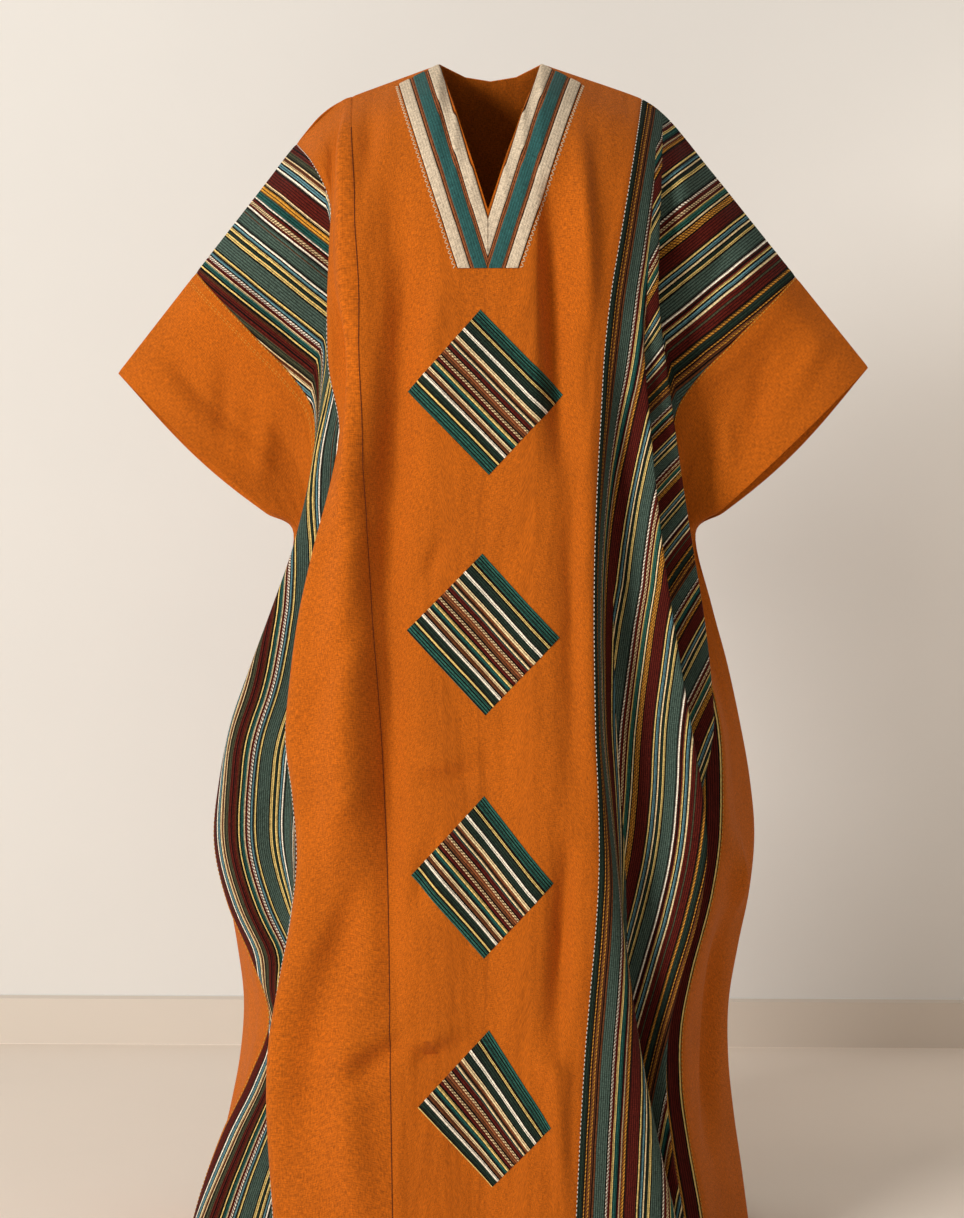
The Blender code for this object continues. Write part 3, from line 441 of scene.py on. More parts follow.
# Panels from left to right: name, first column, last column, finish.
FRONT_PANELS = (
    ("outer_left", "left_side", "left_gold_seam", "orange"),
    ("stripe_left", "left_gold_seam", "left_stripe_seam", "stripes_left"),
    ("side_left", "left_stripe_seam", "left_bust_seam", "orange"),
    ("centre", "left_bust_seam", "right_stripe_seam", "orange_centre"),
    ("stripe_right", "right_stripe_seam", "right_gold_seam", "stripes_right"),
    ("outer_right", "right_gold_seam", "right_side", "orange"),
)
BACK_PANELS = (
    ("outer_left", "left_side", "left_gold_seam", "orange"),
    ("stripe_left", "left_gold_seam", "left_stripe_seam", "stripes_left"),
    ("centre", "left_stripe_seam", "right_stripe_seam", "orange"),
    ("stripe_right", "right_stripe_seam", "right_gold_seam", "stripes_right"),
    ("outer_right", "right_gold_seam", "right_side", "orange"),
)

TAPE_SINK = 0.8  # share of the band's thickness below the tapes, which press into it
LEAST_TAPE = 0.0102  # least width of a tape's flat cut
TRIM_EDGE = 0.16  # share of a strip's width over which its edge is rounded
PATCH_EDGE = 0.03  # the same for a patch

# Stitches along the seams: name, column, metres outwards, thread, slot, and size beside
# that of the settings.
SEAM_ROWS = (
    ("white_seam", "stripe_seam", -0.0012, "white_thread", "cream_tape", 1.0),
    ("gold_seam", "gold_seam", 0.0016, "gold_thread", "band_ground", 1.15),
)
# The dark thread of the bust seam: length in stitches, then width and height in metres.
BUST_THREAD = (1.3, 0.0011, 0.0005)
CUFF_ROWS = (0.0125, 0.0155)  # metres from the gold seam to the rows on the left cuff
CUFF_THREAD = 0.7  # width of the cuff's thread beside that of the seams
# The sawtooth stitch: share of the band's width, pitch, size and slant to either side.
SAWTOOTH_PLACE = 1.05
SAWTOOTH_PITCH = 0.0034
SAWTOOTH_SIZE = (0.0052, 0.0014, 0.0012)
SAWTOOTH_SLANT = 0.95
THREAD_LIFT = 0.0002  # height of the sawtooth stitch's middle above the cloth

# Threads: colour and roughness.
THREADS = {
    "white_thread": ((0.93, 0.91, 0.86), 0.55),
    "cream_thread": ((0.87, 0.78, 0.64), 0.6),
    "gold_thread": ((0.86, 0.62, 0.20), 0.45),
    "seam_thread": ((0.34, 0.13, 0.04), 0.8),
}
SLEEVE_WEAVE = (0.0034, 0.0011)  # distance between ribs and how far the stripes wander
BAND_WEAVE = (0.0022, 0.0002)  # the same on the neckband
PATCH_WEAVE = (0.0029, 0.0008)  # the same on the patches
KNOT_SHARE = 0.8  # length of a knot along a rib, in distances between ribs
PLAIN_TINT = (1.0, 0.82, 0.62)  # of the plain cloths' sheen, as a screen shows it
STRIPED_TINT = (0.8, 0.85, 0.8, 1.0)  # of the striped cloths' sheen
# The darkest yarn also colours the painted shade along the crease down the front.
DARK_YARN_AND_CREASE_SHADE, LIGHT_YARN = 0.52, 1.30  # darkest and lightest yarn beside the cloth's colour
THREAD_SHADE = 0.62  # the dark turns of a sewing thread beside its colour
# Painted shade along the crease pressed down the front: distance left of the middle,
# where it fades from full to nothing on either side, and strength.
CREASE_SHADE_AT = 0.004
CREASE_SHADE_EDGE = (0.0008, 0.0026)
CREASE_SHADE_STRENGTH = 0.30
FULL_TURN, HALF_TURN = 6.2832, 3.1416  # in radians, for the node trees
YARN_SCALE = 820.0  # fineness of the yarns' uneven shade
YARN_STRETCH = 0.22  # how much that shade is drawn out along the yarns

ROOM_DEPTH = 9.0
WALL_HEIGHT = 5.0
SKIRTING = (0.015, 0.080)  # depth and height of the skirting board
SKIRTING_LIP = 0.004  # rise of the skirting board's top towards the wall
WALL_PAINT = (0.885, 0.875, 0.855)
SKIRTING_PAINT = (0.85, 0.81, 0.76)
FLOOR_PAINT = (0.93, 0.885, 0.835)
AIR = (1.0, 0.955, 0.90, 1.0)  # colour of the light from all round
# Lights: name, setting with their power, size, place, aim, colour.
LIGHTS = (
    ("key_light", "key", 1.7, (-3.9, -4.2, 0.9), (0.0, 0.0, -0.7), (1.0, 0.98, 0.95)),
    ("fill_light", "fill", 2.0, (2.6, -2.6, 0.2), (0.0, 0.0, -0.7), (1.0, 0.95, 0.9)),
    ("wall_light", "wall_glow", 1.3, (1.55, 0.35, -0.5), (1.55, 1.0, -0.5), (1.0, 0.9, 0.8)),
)
CAMERA_PLACE = (0.06, -3.30, -0.458)
CAMERA_AIM = (-0.0104, 0.0, -0.7007)


# ---- shape of the cloth -------------------------------------------------------------


def edge_point(edge, along):
    """x and z of the upper edge at a distance along it."""
    table = np.array(edge)
    x = np.interp(along, table[:, 0], table[:, 1])
    z = np.interp(along, table[:, 0], table[:, 2])
    return np.array([x, z])


def neck_drop(along, front):
    """How far below the shoulder line a column starts, where the neck is open."""
    share = max(0.0, 1.0 - along / V_HALF)
    return V_DEPTH * share if front else BACK_NECK * (1.0 - (1.0 - share) ** 2)


def softened(start, bend, end, distance):
    """Point at a distance along start-bend-end, with the corner rounded."""
    first = np.linalg.norm(bend - start)
    last = np.linalg.norm(end - bend)
    into = (bend - start) / first
    out = (end - bend) / last
    reach = min(BEND_ROUND, 0.9 * first, 0.9 * last)
    step = (distance - first + reach) / (2 * reach)
    if step <= 0:
        return start + into * distance
    if step >= 1:
        return bend + out * (distance - first)
    before = bend - into * reach
    after = bend + out * reach
    return before * (1 - step) ** 2 + 2 * bend * step * (1 - step) + after * step**2


def column_above(edge, fold, front):
    """Points of one column from the upper edge to the underarm ring."""
    name, along, bend, ring = fold[:4]
    start = edge_point(edge, along)
    turn = np.array([bend[0], bend[2]])
    end = np.array([ring[0], BUST])
    if name == "side":
        end[1] = BUST + SIDE_RISE
        turn = (start + end) / 2
    first = np.linalg.norm(turn - start)
    length = first + np.linalg.norm(end - turn)
    skipped = neck_drop(along, front)
    soft = CHEST_ROUND if along < CHEST_END else SLEEVE_ROUND
    points = []
    for row in range(SHOULDER_ROWS + 1):
        share = (row / SHOULDER_ROWS) ** ROW_SPREAD
        distance = skipped + (length - skipped) * share
        x, z = softened(start, turn, end, distance)
        if name == "side":
            bow = -CUFF_FRONT if front else CUFF_BACK
            y = bow * math.sin(math.pi * share) ** CUFF_FULLNESS
            if not front:
                run = (end - start) / length
                sag = CUFF_SAG * math.sin(math.pi * share)
                x, z = x - run[1] * sag, z + run[0] * sag
        else:
            turned = (1 - math.exp(-distance / soft)) / (1 - math.exp(-first / soft))
            y = bend[1] * min(turned, 1.0)
            late = min(max((distance - first) / (length - first), 0.0), 1.0)
            y += (ring[1] - y) * late * late * (3 - 2 * late)
        points.append((x, y, z))
    return points


def column_below(fold):
    """Points of one column from the underarm ring to the hem."""
    heights = -np.array(LEVELS)
    ring = np.array(fold[3:8])
    slopes = np.gradient(ring, heights, axis=0)
    points = []
    for row in range(1, SKIRT_ROWS + 1):
        depth = heights[0] + (heights[-1] - heights[0]) * row / SKIRT_ROWS
        level = min(int(np.searchsorted(heights, depth, side="left")) - 1, len(heights) - 2)
        gap = heights[level + 1] - heights[level]
        step = (depth - heights[level]) / gap
        start_share = 2 * step**3 - 3 * step**2 + 1
        end_share = 1 - start_share
        leave = (step**3 - 2 * step**2 + step) * gap
        arrive = (step**3 - step**2) * gap
        place = ring[level] * start_share + ring[level + 1] * end_share
        place = place + slopes[level] * leave + slopes[level + 1] * arrive
        points.append((place[0], place[1], -depth))
    return points


def columns_of(edge, folds, front, side):
    """Every named column of one quarter of the cloth, rows first; side is -1 or 1."""
    found = []
    for fold in folds:
        column = np.array(column_above(edge, fold, front) + column_below(fold))
        for name, shifts in TUCKS:
            if front and side < 0 and fold[0] == name:
                column[:, 0] -= np.interp(-column[:, 2], *np.array(shifts).T)
        if fold[0] != "side":
            for _ in range(2):
                middle = column[SHOULDER_ROWS - 2 : SHOULDER_ROWS + 3]
                around = column[SHOULDER_ROWS - 3 : SHOULDER_ROWS + 2]
                beyond = column[SHOULDER_ROWS - 1 : SHOULDER_ROWS + 4]
                column[SHOULDER_ROWS - 2 : SHOULDER_ROWS + 3] = (around + 2 * middle + beyond) / 4
        column[:, 0] *= side
        found.append(column)
    return found


def finer_rows(columns):
    """The columns with FINE steps between each two of their points, on smooth curves."""
    points = np.array(columns)
    slopes = np.gradient(points, axis=1)
    rows = []
    for row in range(points.shape[1] - 1):
        start, end = points[:, row], points[:, row + 1]
        for cell in range(FINE):
            step = cell / FINE
            share = 3 * step**2 - 2 * step**3
            leave = step**3 - 2 * step**2 + step
            arrive = step**3 - step**2
            curve = start * (1 - share) + end * share
            rows.append(curve + slopes[:, row] * leave + slopes[:, row + 1] * arrive)
    rows.append(points[:, -1])
    return np.stack(rows, axis=1)


def across(points, cells, straight):
    """The grid with the cells between named columns filled along rounded curves."""
    gaps = np.linalg.norm(np.diff(points, axis=0), axis=2) ** 0.5
    gaps = np.maximum(gaps, 1e-4)[:, :, None]
    chords = np.diff(points, axis=0) / gaps
    slopes = np.empty_like(points)
    slopes[0] = chords[0]
    slopes[-1] = chords[-1]
    slopes[1:-1] = (chords[:-1] * gaps[1:] + chords[1:] * gaps[:-1]) / (gaps[1:] + gaps[:-1])
    slopes[min(straight)] = chords[min(straight) - 1]
    slopes[max(straight) + 1] = chords[max(straight) + 1]
    rows = []
    for index, count in enumerate(cells):
        start, end = points[index], points[index + 1]
        for cell in range(count):
            step = cell / count
            if index in straight:
                rows.append(start + (end - start) * step)
                continue
            leave = (step**3 - 2 * step**2 + step) * gaps[index]
            arrive = (step**3 - step**2) * gaps[index]
            share = 3 * step**2 - 2 * step**3
            curve = start * (1 - share) + end * share
            rows.append(curve + slopes[index] * leave + slopes[index + 1] * arrive)
    rows.append(points[-1])
    return np.array(rows)


def directions(grid, axis):
    """Unit direction of the grid's lines at each point, halfway between its cells."""
    steps = np.diff(grid, axis=axis)
    steps /= np.maximum(np.linalg.norm(steps, axis=2, keepdims=True), 1e-12)
    first = np.take(steps, [0], axis=axis)
    last = np.take(steps, [-1], axis=axis)
    total = np.concatenate([first, steps], axis=axis) + np.concatenate([steps, last], axis=axis)
    return total / np.linalg.norm(total, axis=2, keepdims=True)


def smooth_step(value):
    """0 below 0, 1 above 1 and a smooth rise between them."""
    held = np.clip(value, 0.0, 1.0)
    return held * held * (3 - 2 * held)


def change(value, span):
    """A smooth rise from 0 to 1, from the span's start over its length."""
    start, length = span
    return smooth_step((value - start) / length)


class Sheet:
    """The front or the back of the robe as one fine grid, column by column."""

    def __init__(self, left, right, front):
        self.front = front
        self.left, self.right = left, right
        left_columns = columns_of(LEFT_EDGE, left, front, -1)
        right_columns = columns_of(RIGHT_EDGE, right, front, 1)
        cells = [fold[-1] for fold in left[:-1]][::-1] + [fold[-1] for fold in right[:-1]]
        names = ["left_" + fold[0] for fold in left[:0:-1]]
        names += ["right_" + fold[0] for fold in right]
        straight = {
            index
            for index, name in enumerate(names[:-1])
            if "neck" in name and ("neck" in names[index + 1] or "centre" in names[index + 1])
        }
        straight.add(names.index("right_centre"))
        fine_cells = [FINE * count for count in cells]
        places = np.concatenate([[0], np.cumsum(fine_cells)])
        self.at = dict(zip(names, places.tolist()))
        columns = finer_rows(left_columns[:0:-1] + right_columns)
        self.grid = across(columns, fine_cells, straight)
        edges = [-fold[1] for fold in left[:0:-1]] + [fold[1] for fold in right]
        self.edge = np.interp(np.arange(places[-1] + 1), places, edges)
        self.set_normals()

    def set_normals(self):
        sign = -1.0 if self.front else 1.0
        down = directions(self.grid, 1)
        normal = np.cross(directions(self.grid, 0), down) * sign
        normal /= np.maximum(np.linalg.norm(normal, axis=2, keepdims=True), 1e-12)
        on_shoulder = np.abs(self.grid[:, 0, 1]) < 1e-6
        normal[on_shoulder, 0, 1] = 0.0
        normal[:, 0] /= np.linalg.norm(normal[:, 0], axis=1, keepdims=True)
        self.normal = normal

    def crease(self, strength):
        """Moves the cloth out or in along the creases of the table."""
        word = "front" if self.front else "back"
        moved = np.zeros(self.grid.shape[:2])
        column = np.arange(self.grid.shape[0])[:, None]
        for sheet, first, last, creases in CREASES:
            if sheet != word:
                continue
            inside = smooth_step((column - self.at[first]) / CREASE_FADE)
            inside = inside * smooth_step((self.at[last] - column) / CREASE_FADE)
            for x, z, end_x, end_z, half_width, height in creases:
                start = np.array((x, z))
                along = np.array((end_x, end_z)) - start
                place = self.grid[:, :, [0, 2]] - start
                share = np.clip(place @ along / (along @ along), 0.0, 1.0)
                away = np.linalg.norm(place - share[:, :, None] * along, axis=2)
                swell = np.sin(np.pi * np.clip(share * 0.9 + 0.05, 0, 1)) ** 0.7
                moved += height * swell * inside * np.exp(-((away / half_width) ** 2))
        row = np.arange(self.grid.shape[1])[None, :]
        moved *= smooth_step(row / CREASE_FADE)
        self.grid = self.grid + self.normal * (moved * strength)[:, :, None]
        self.set_normals()


def share_side_normals(front, back):
    """Gives the two sheets one normal along their side seams, where they meet."""
    for end in (0, -1):
        normal = front.normal[end, SHOULDER_FINE:] + back.normal[end, SHOULDER_FINE:]
        normal /= np.linalg.norm(normal, axis=1, keepdims=True)
        front.normal[end, SHOULDER_FINE:] = normal
        back.normal[end, SHOULDER_FINE:] = normal


@functools.cache
def robe_sheets(strength):
    """The front and the back, creased and ready to cut into panels."""
    front = Sheet(FRONT_LEFT, FRONT_RIGHT, True)
    back = Sheet(BACK_LEFT, BACK_RIGHT, False)
    for sheet in (front, back):
        sheet.crease(strength)
    share_side_normals(front, back)
    return front, back


# ---- where the stripes run ----------------------------------------------------------


def column_lengths(grid):
    """Distance down each column from its top, in metres."""
    steps = np.linalg.norm(np.diff(grid, axis=1), axis=2)
    return np.concatenate([np.zeros((grid.shape[0], 1)), np.cumsum(steps, axis=1)], axis=1)


def row_lengths(grid):
    """Distance along each row from the first column, in metres."""
    steps = np.linalg.norm(np.diff(grid, axis=0), axis=2)
    return np.concatenate([np.zeros((1, grid.shape[1])), np.cumsum(steps, axis=0)], axis=0)


def cut_across(sheet, first, last):
    """Distance from the robe's middle on the flat cut, at the columns first to last."""
    grid = sheet.grid[first : last + 1]
    edge = sheet.edge[first : last + 1]
    lengths = row_lengths(grid)
    even = edge[0] + (edge[-1] - edge[0]) * lengths / lengths[-1]
    rows = np.arange(grid.shape[1])
    hanging = smooth_step((rows - SHOULDER_FINE * HANG_START) / (SHOULDER_FINE * HANG_LENGTH))
    return edge[:, None] * (1 - hanging) + even * hanging


def bend_rows(sheet, names, side):
    """Fine row where each named column turns from the sleeve's slope to hang down."""
    edge = LEFT_EDGE if side < 0 else RIGHT_EDGE
    folds = {fold[0]: fold for fold in (sheet.left if side < 0 else sheet.right)}
    rows = []
    for name in names:
        _, along, bend, ring = folds[name][:4]
        start = edge_point(edge, along)
        turn = np.array([bend[0], bend[2]])
        first = np.linalg.norm(turn - start)
        length = first + np.linalg.norm(np.array([ring[0], BUST]) - turn)
        rows.append(SHOULDER_FINE * (first / length) ** (1 / ROW_SPREAD))
    return rows


def stripe_reach(sheet, side, zones=()):
    """How far each fine column lies outwards from the stripe seam on the flat cut.

    It comes as two tables, for the near and the far column of each cell. On the sleeve
    the stripes lie square to its upper edge; below the underarm they share out the
    panel's width. Each zone, from one named column to another, follows the stripe seam
    instead, and there the stripes lean towards the centre below the height given.
    """
    word = "left_" if side < 0 else "right_"
    seam, border = sheet.at[word + "stripe_seam"], sheet.at[word + "gold_seam"]
    first, last = min(seam, border), max(seam, border)
    grid = sheet.grid[first : last + 1]
    edge = np.abs(sheet.edge[first : last + 1])
    lengths = row_lengths(grid)
    lengths = np.abs(lengths - lengths[seam - first])
    width = abs(edge[border - first] - edge[seam - first])
    shared = lengths * width / lengths[border - first]
    rows = np.arange(grid.shape[1])[None, :]

    names = [name[len(word) :] for name, at in sheet.at.items() if first <= at <= last]
    places = [sheet.at[word + name] - first for name in names]
    turn = np.interp(np.arange(len(grid)), places, bend_rows(sheet, names, side))
    turn_at = np.round(turn).astype(int)

    table = np.array(LEFT_EDGE if side < 0 else RIGHT_EDGE)
    inner, outer = table[-2], table[-1]
    run = (outer[1:] - inner[1:]) / np.linalg.norm(outer[1:] - inner[1:])
    place = np.stack([np.abs(grid[:, :, 0]), grid[:, :, 2]], axis=2) - inner[1:]
    slope = inner[0] + place @ run - edge[seam - first]
    held = slope[np.arange(len(grid)), turn_at][:, None]
    sleeve = np.where(rows <= turn_at[:, None], slope, held)
    hanging = smooth_step((rows - turn[:, None]) / (SHOULDER_FINE * HANG_END - turn[:, None]))
    hung = shared
    if side < 0 and sheet.front:
        from_border = width - (lengths[border - first] - lengths)
        depth = -grid[:, :, 2]
        parallel = change(depth, TO_BORDER) * (1 - change(depth, FROM_BORDER))
        early = lengths * (1 - parallel) + from_border * parallel
        late = change(depth, TO_SHARED)
        hung = early * (1 - late) + shared * late
    sleeve = sleeve * (1 - hanging) + hung * BODY_REPEAT * hanging

    near, far = sleeve[:-1].copy(), sleeve[1:].copy()
    for start, end, lean, height in zones:
        low, high = sorted((sheet.at[word + start] - first, sheet.at[word + end] - first))
        leaning = lengths * BODY_REPEAT + lean * np.maximum(height - grid[:, :, 2], 0.0)
        near[low:high] = leaning[low:high]
        far[low:high] = leaning[low + 1 : high + 1]
    return near, far


# ---- meshes -------------------------------------------------------------------------


def shell(name, over, under, near, far, down):
    """A closed cloth of two layers from two grids; its flat cut becomes the UV map."""
    wide, deep = over.shape[:2]
    count = wide * deep
    number = np.arange(count).reshape(wide, deep)
    quads = np.stack([number[:-1, :-1], number[:-1, 1:], number[1:, 1:], number[1:, :-1]], axis=2)
    u = np.stack([near[:, :-1], near[:, 1:], far[:, 1:], far[:, :-1]], axis=2)
    v = np.stack([down[:-1, :-1], down[:-1, 1:], down[1:, 1:], down[1:, :-1]], axis=2)
    quads = quads.reshape(-1, 4)
    flat = np.stack([u, v], axis=3).reshape(-1, 4, 2)
    borders = (
        (number[0, :-1], number[0, 1:], near[0, :-1], near[0, 1:], down[0, :-1], down[0, 1:]),
        (number[:-1, -1], number[1:, -1], near[:, -1], far[:, -1], down[:-1, -1], down[1:, -1]),
        (number[-1, 1:], number[-1, :-1], far[-1, 1:], far[-1, :-1], down[-1, 1:], down[-1, :-1]),
        (number[1:, 0], number[:-1, 0], far[:, 0], near[:, 0], down[1:, 0], down[:-1, 0]),
    )
    faces = [quads + count, quads[:, ::-1]]
    places = [flat, flat[:, ::-1]]
    for start, end, start_u, end_u, start_v, end_v in borders:
        faces.append(np.stack([start, end, end + count, start + count], axis=1))
        first = np.stack([start_u, start_v], axis=1)
        second = np.stack([end_u, end_v], axis=1)
        places.append(np.stack([first, second, second, first], axis=1))
    faces = np.concatenate(faces)
    places = np.concatenate(places)
    out = (over - under)[:-1, :-1]
    turned = np.cross(np.diff(over, axis=0)[:, :-1], np.diff(over, axis=1)[:-1])
    if (turned * out).sum() > 0:
        faces, places = faces[:, ::-1], places[:, ::-1]
    points = np.concatenate([under.reshape(-1, 3), over.reshape(-1, 3)])
    mesh = bpy.data.meshes.new(name)
    mesh.from_pydata(points.tolist(), [], faces.tolist())
    layer = mesh.uv_layers.new(name="cut")
    layer.data.foreach_set("uv", places.astype(np.float32).ravel())
    mesh.polygons.foreach_set("use_smooth", np.ones(len(mesh.polygons), dtype=bool))
    mesh.set_sharp_from_angle(angle=math.radians(SHARP_EDGE))
    mesh.update()
    return finished_object(name, mesh)


def finished_object(name, mesh):
    """An object for a mesh that already lies in place, riding on the robe's one body."""
    obj = bpy.data.objects.new(name, mesh)
    bpy.context.scene.collection.objects.link(obj)
    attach(obj, "root")
    return obj


def panel(name, sheet, first, last, near, far, thickness):
    """One panel of cloth, with its edges eased in to meet the next panel at a seam."""
    grid = sheet.grid[first : last + 1].copy()
    normal = sheet.normal[first : last + 1]
    square = np.cross(directions(grid, 1), normal) * (-1.0 if sheet.front else 1.0)
    grid[0] += square[0] * SEAM_GAP / 2
    grid[-1] -= square[-1] * SEAM_GAP / 2
    grid[:, 0, 1] += -SEAM_GAP / 2 if sheet.front else SEAM_GAP / 2
    lift = np.full(grid.shape[:2], thickness / 2)
    lift[[0, -1]] *= SEAM_THINNING
    over = grid + normal * lift[:, :, None]
    under = grid - normal * lift[:, :, None]
    down = column_lengths(grid)
    for column, along in enumerate(sheet.edge[first : last + 1]):
        down[column] += neck_drop(abs(along), sheet.front)
    return shell(name, over, under, near, far, down)


class Surface:
    """The outer face of the front or the back, to lay trims on."""

    def __init__(self, sheet):
        wide, deep = sheet.grid.shape[:2]
        low = sheet.at["left_stripe_seam"] if not sheet.front else sheet.at["left_bust_seam"]
        high = sheet.at["right_stripe_seam"]
        number = np.arange(wide * deep).reshape(wide, deep)[low : high + 1]
        quads = np.stack(
            [number[:-1, :-1], number[:-1, 1:], number[1:, 1:], number[1:, :-1]], axis=2
        )
        self.tree = BVHTree.FromPolygons(
            sheet.grid.reshape(-1, 3).tolist(), quads.reshape(-1, 4).tolist()
        )
        self.side = -1.0 if sheet.front else 1.0

    def at(self, x, z):
        """The point of the cloth at x and z, and its outward normal."""
        start = Vector((x, self.side, z))
        place, normal, _, _ = self.tree.ray_cast(start, Vector((0, -self.side, 0)))
        if place is None:
            place, normal, _, _ = self.tree.find_nearest(Vector((x, self.side * 0.02, z)))
        if normal.y * self.side < 0:
            normal = -normal
        return np.array(place), np.array(normal)


def laid(name, surface, lines, low, heights, thickness, step_across):
    """A strip laid on a surface: lines of (x, z) across it, each from its top down."""
    points = np.empty((len(lines), len(lines[0]), 3))
    normals = np.empty_like(points)
    for i, line in enumerate(lines):
        for j, (x, z) in enumerate(line):
            points[i, j], normals[i, j] = surface.at(x, z)
    for _ in range(2):
        normals[:, 1:-1] = (normals[:, :-2] + 2 * normals[:, 1:-1] + normals[:, 2:]) / 4
        normals[1:-1] = (normals[:-2] + 2 * normals[1:-1] + normals[2:]) / 4
    normals /= np.linalg.norm(normals, axis=2, keepdims=True)
    under = points + normals * low
    over = under + normals * (thickness * heights)[:, :, None]
    near = np.repeat(np.array(step_across)[:-1, None], points.shape[1], axis=1)
    far = np.repeat(np.array(step_across)[1:, None], points.shape[1], axis=1)
    return shell(name, over, under, near, far, column_lengths(points))


def seam_path(sheet, name, along, rows, lift):
    """Points and normals down a sheet beside a named column, along metres outwards."""
    at = sheet.at[name]
    side = -1 if name.startswith("left") else 1
    index = at
    if along:
        target = abs(sheet.edge[at]) + along
        edges = np.abs(sheet.edge)
        span = range(at, -1, -1) if side < 0 else range(at, len(edges))
        for column in span:
            if (edges[column] - target) * (1 if along > 0 else -1) >= 0:
                before = column - side * (1 if along > 0 else -1)
                share = (target - edges[before]) / (edges[column] - edges[before])
                index = before + (column - before) * share
                break
    low = int(math.floor(index))
    share = index - low
    high = min(low + 1, len(sheet.grid) - 1)
    first, last = rows
    points = sheet.grid[low, first:last] * (1 - share) + sheet.grid[high, first:last] * share
    normals = sheet.normal[low, first:last] * (1 - share)
    normals = normals + sheet.normal[high, first:last] * share
    normals /= np.linalg.norm(normals, axis=1, keepdims=True)
    return points + normals * lift, normals


# ---- materials ----------------------------------------------------------------------


class Nodes:
    """Short ways to add nodes to a material or a group, from left to right."""

    def __init__(self, tree):
        self.tree = tree
        self.column = 0

    def add(self, kind, **settings):
        node = self.tree.nodes.new(kind)
        self.column += 1
        node.location = (self.column * 190, -220 * (self.column % 3))
        for name, value in settings.items():
            setattr(node, name, value)
        return node

    def link(self, source, target):
        self.tree.links.new(source, target)

    def math(self, operation, first, second=None, third=None):
        node = self.add("ShaderNodeMath", operation=operation)
        for socket, value in zip(node.inputs, (first, second, third)):
            self.feed(socket, value)
        return node.outputs[0]

    def mix(self, factor, first, second, blend="MIX"):
        node = self.add("ShaderNodeMix", data_type="RGBA", blend_type=blend)
        self.feed(node.inputs["Factor"], factor)
        self.feed(node.inputs[6], first)
        self.feed(node.inputs[7], second)
        return node.outputs[2]

    def feed(self, socket, value):
        if value is None:
            return
        if isinstance(value, bpy.types.NodeSocket):
            self.link(value, socket)
        else:
            socket.default_value = value

    def noise(self, vector, scale, detail=2.0, roughness=0.5):
        node = self.add("ShaderNodeTexNoise")
        self.link(vector, node.inputs["Vector"])
        node.inputs["Scale"].default_value = scale
        node.inputs["Detail"].default_value = detail
        node.inputs["Roughness"].default_value = roughness
        return node.outputs["Fac"]

    def remap(self, value, low, high, to_low, to_high):
        node = self.add("ShaderNodeMapRange")
        self.feed(node.inputs["Value"], value)
        for socket, number in zip(node.inputs[1:5], (low, high, to_low, to_high)):
            socket.default_value = number
        return node.outputs["Result"]

    def axes(self, vector):
        node = self.add("ShaderNodeSeparateXYZ")
        self.link(vector, node.inputs[0])
        return node.outputs

    def stretched(self, vector, scale, turn=0.0):
        node = self.add("ShaderNodeMapping")
        self.link(vector, node.inputs["Vector"])
        node.inputs["Rotation"].default_value = (0.0, 0.0, turn)
        node.inputs["Scale"].default_value = scale
        return node.outputs[0]

    def ridges(self, distance, spacing):
        wave = self.math("SINE", self.math("MULTIPLY", distance, HALF_TURN / spacing))
        return self.math("ABSOLUTE", wave)

    def dimmed(self, colour, gain):
        grey = self.add("ShaderNodeCombineColor")
        for socket in grey.inputs:
            self.link(gain, socket)
        return self.mix(1.0, colour, grey.outputs[0], "MULTIPLY")


def new_group(name, inputs, outputs):
    """An empty shader node group with its sockets and its two end nodes."""
    group = bpy.data.node_groups.new(name, "ShaderNodeTree")
    for label, kind, value in inputs:
        socket = group.interface.new_socket(label, in_out="INPUT", socket_type=kind)
        if value is not None:
            socket.default_value = value
    for label, kind in outputs:
        group.interface.new_socket(label, in_out="OUTPUT", socket_type=kind)
    nodes = Nodes(group)
    return group, nodes, nodes.add("NodeGroupInput"), nodes.add("NodeGroupOutput")


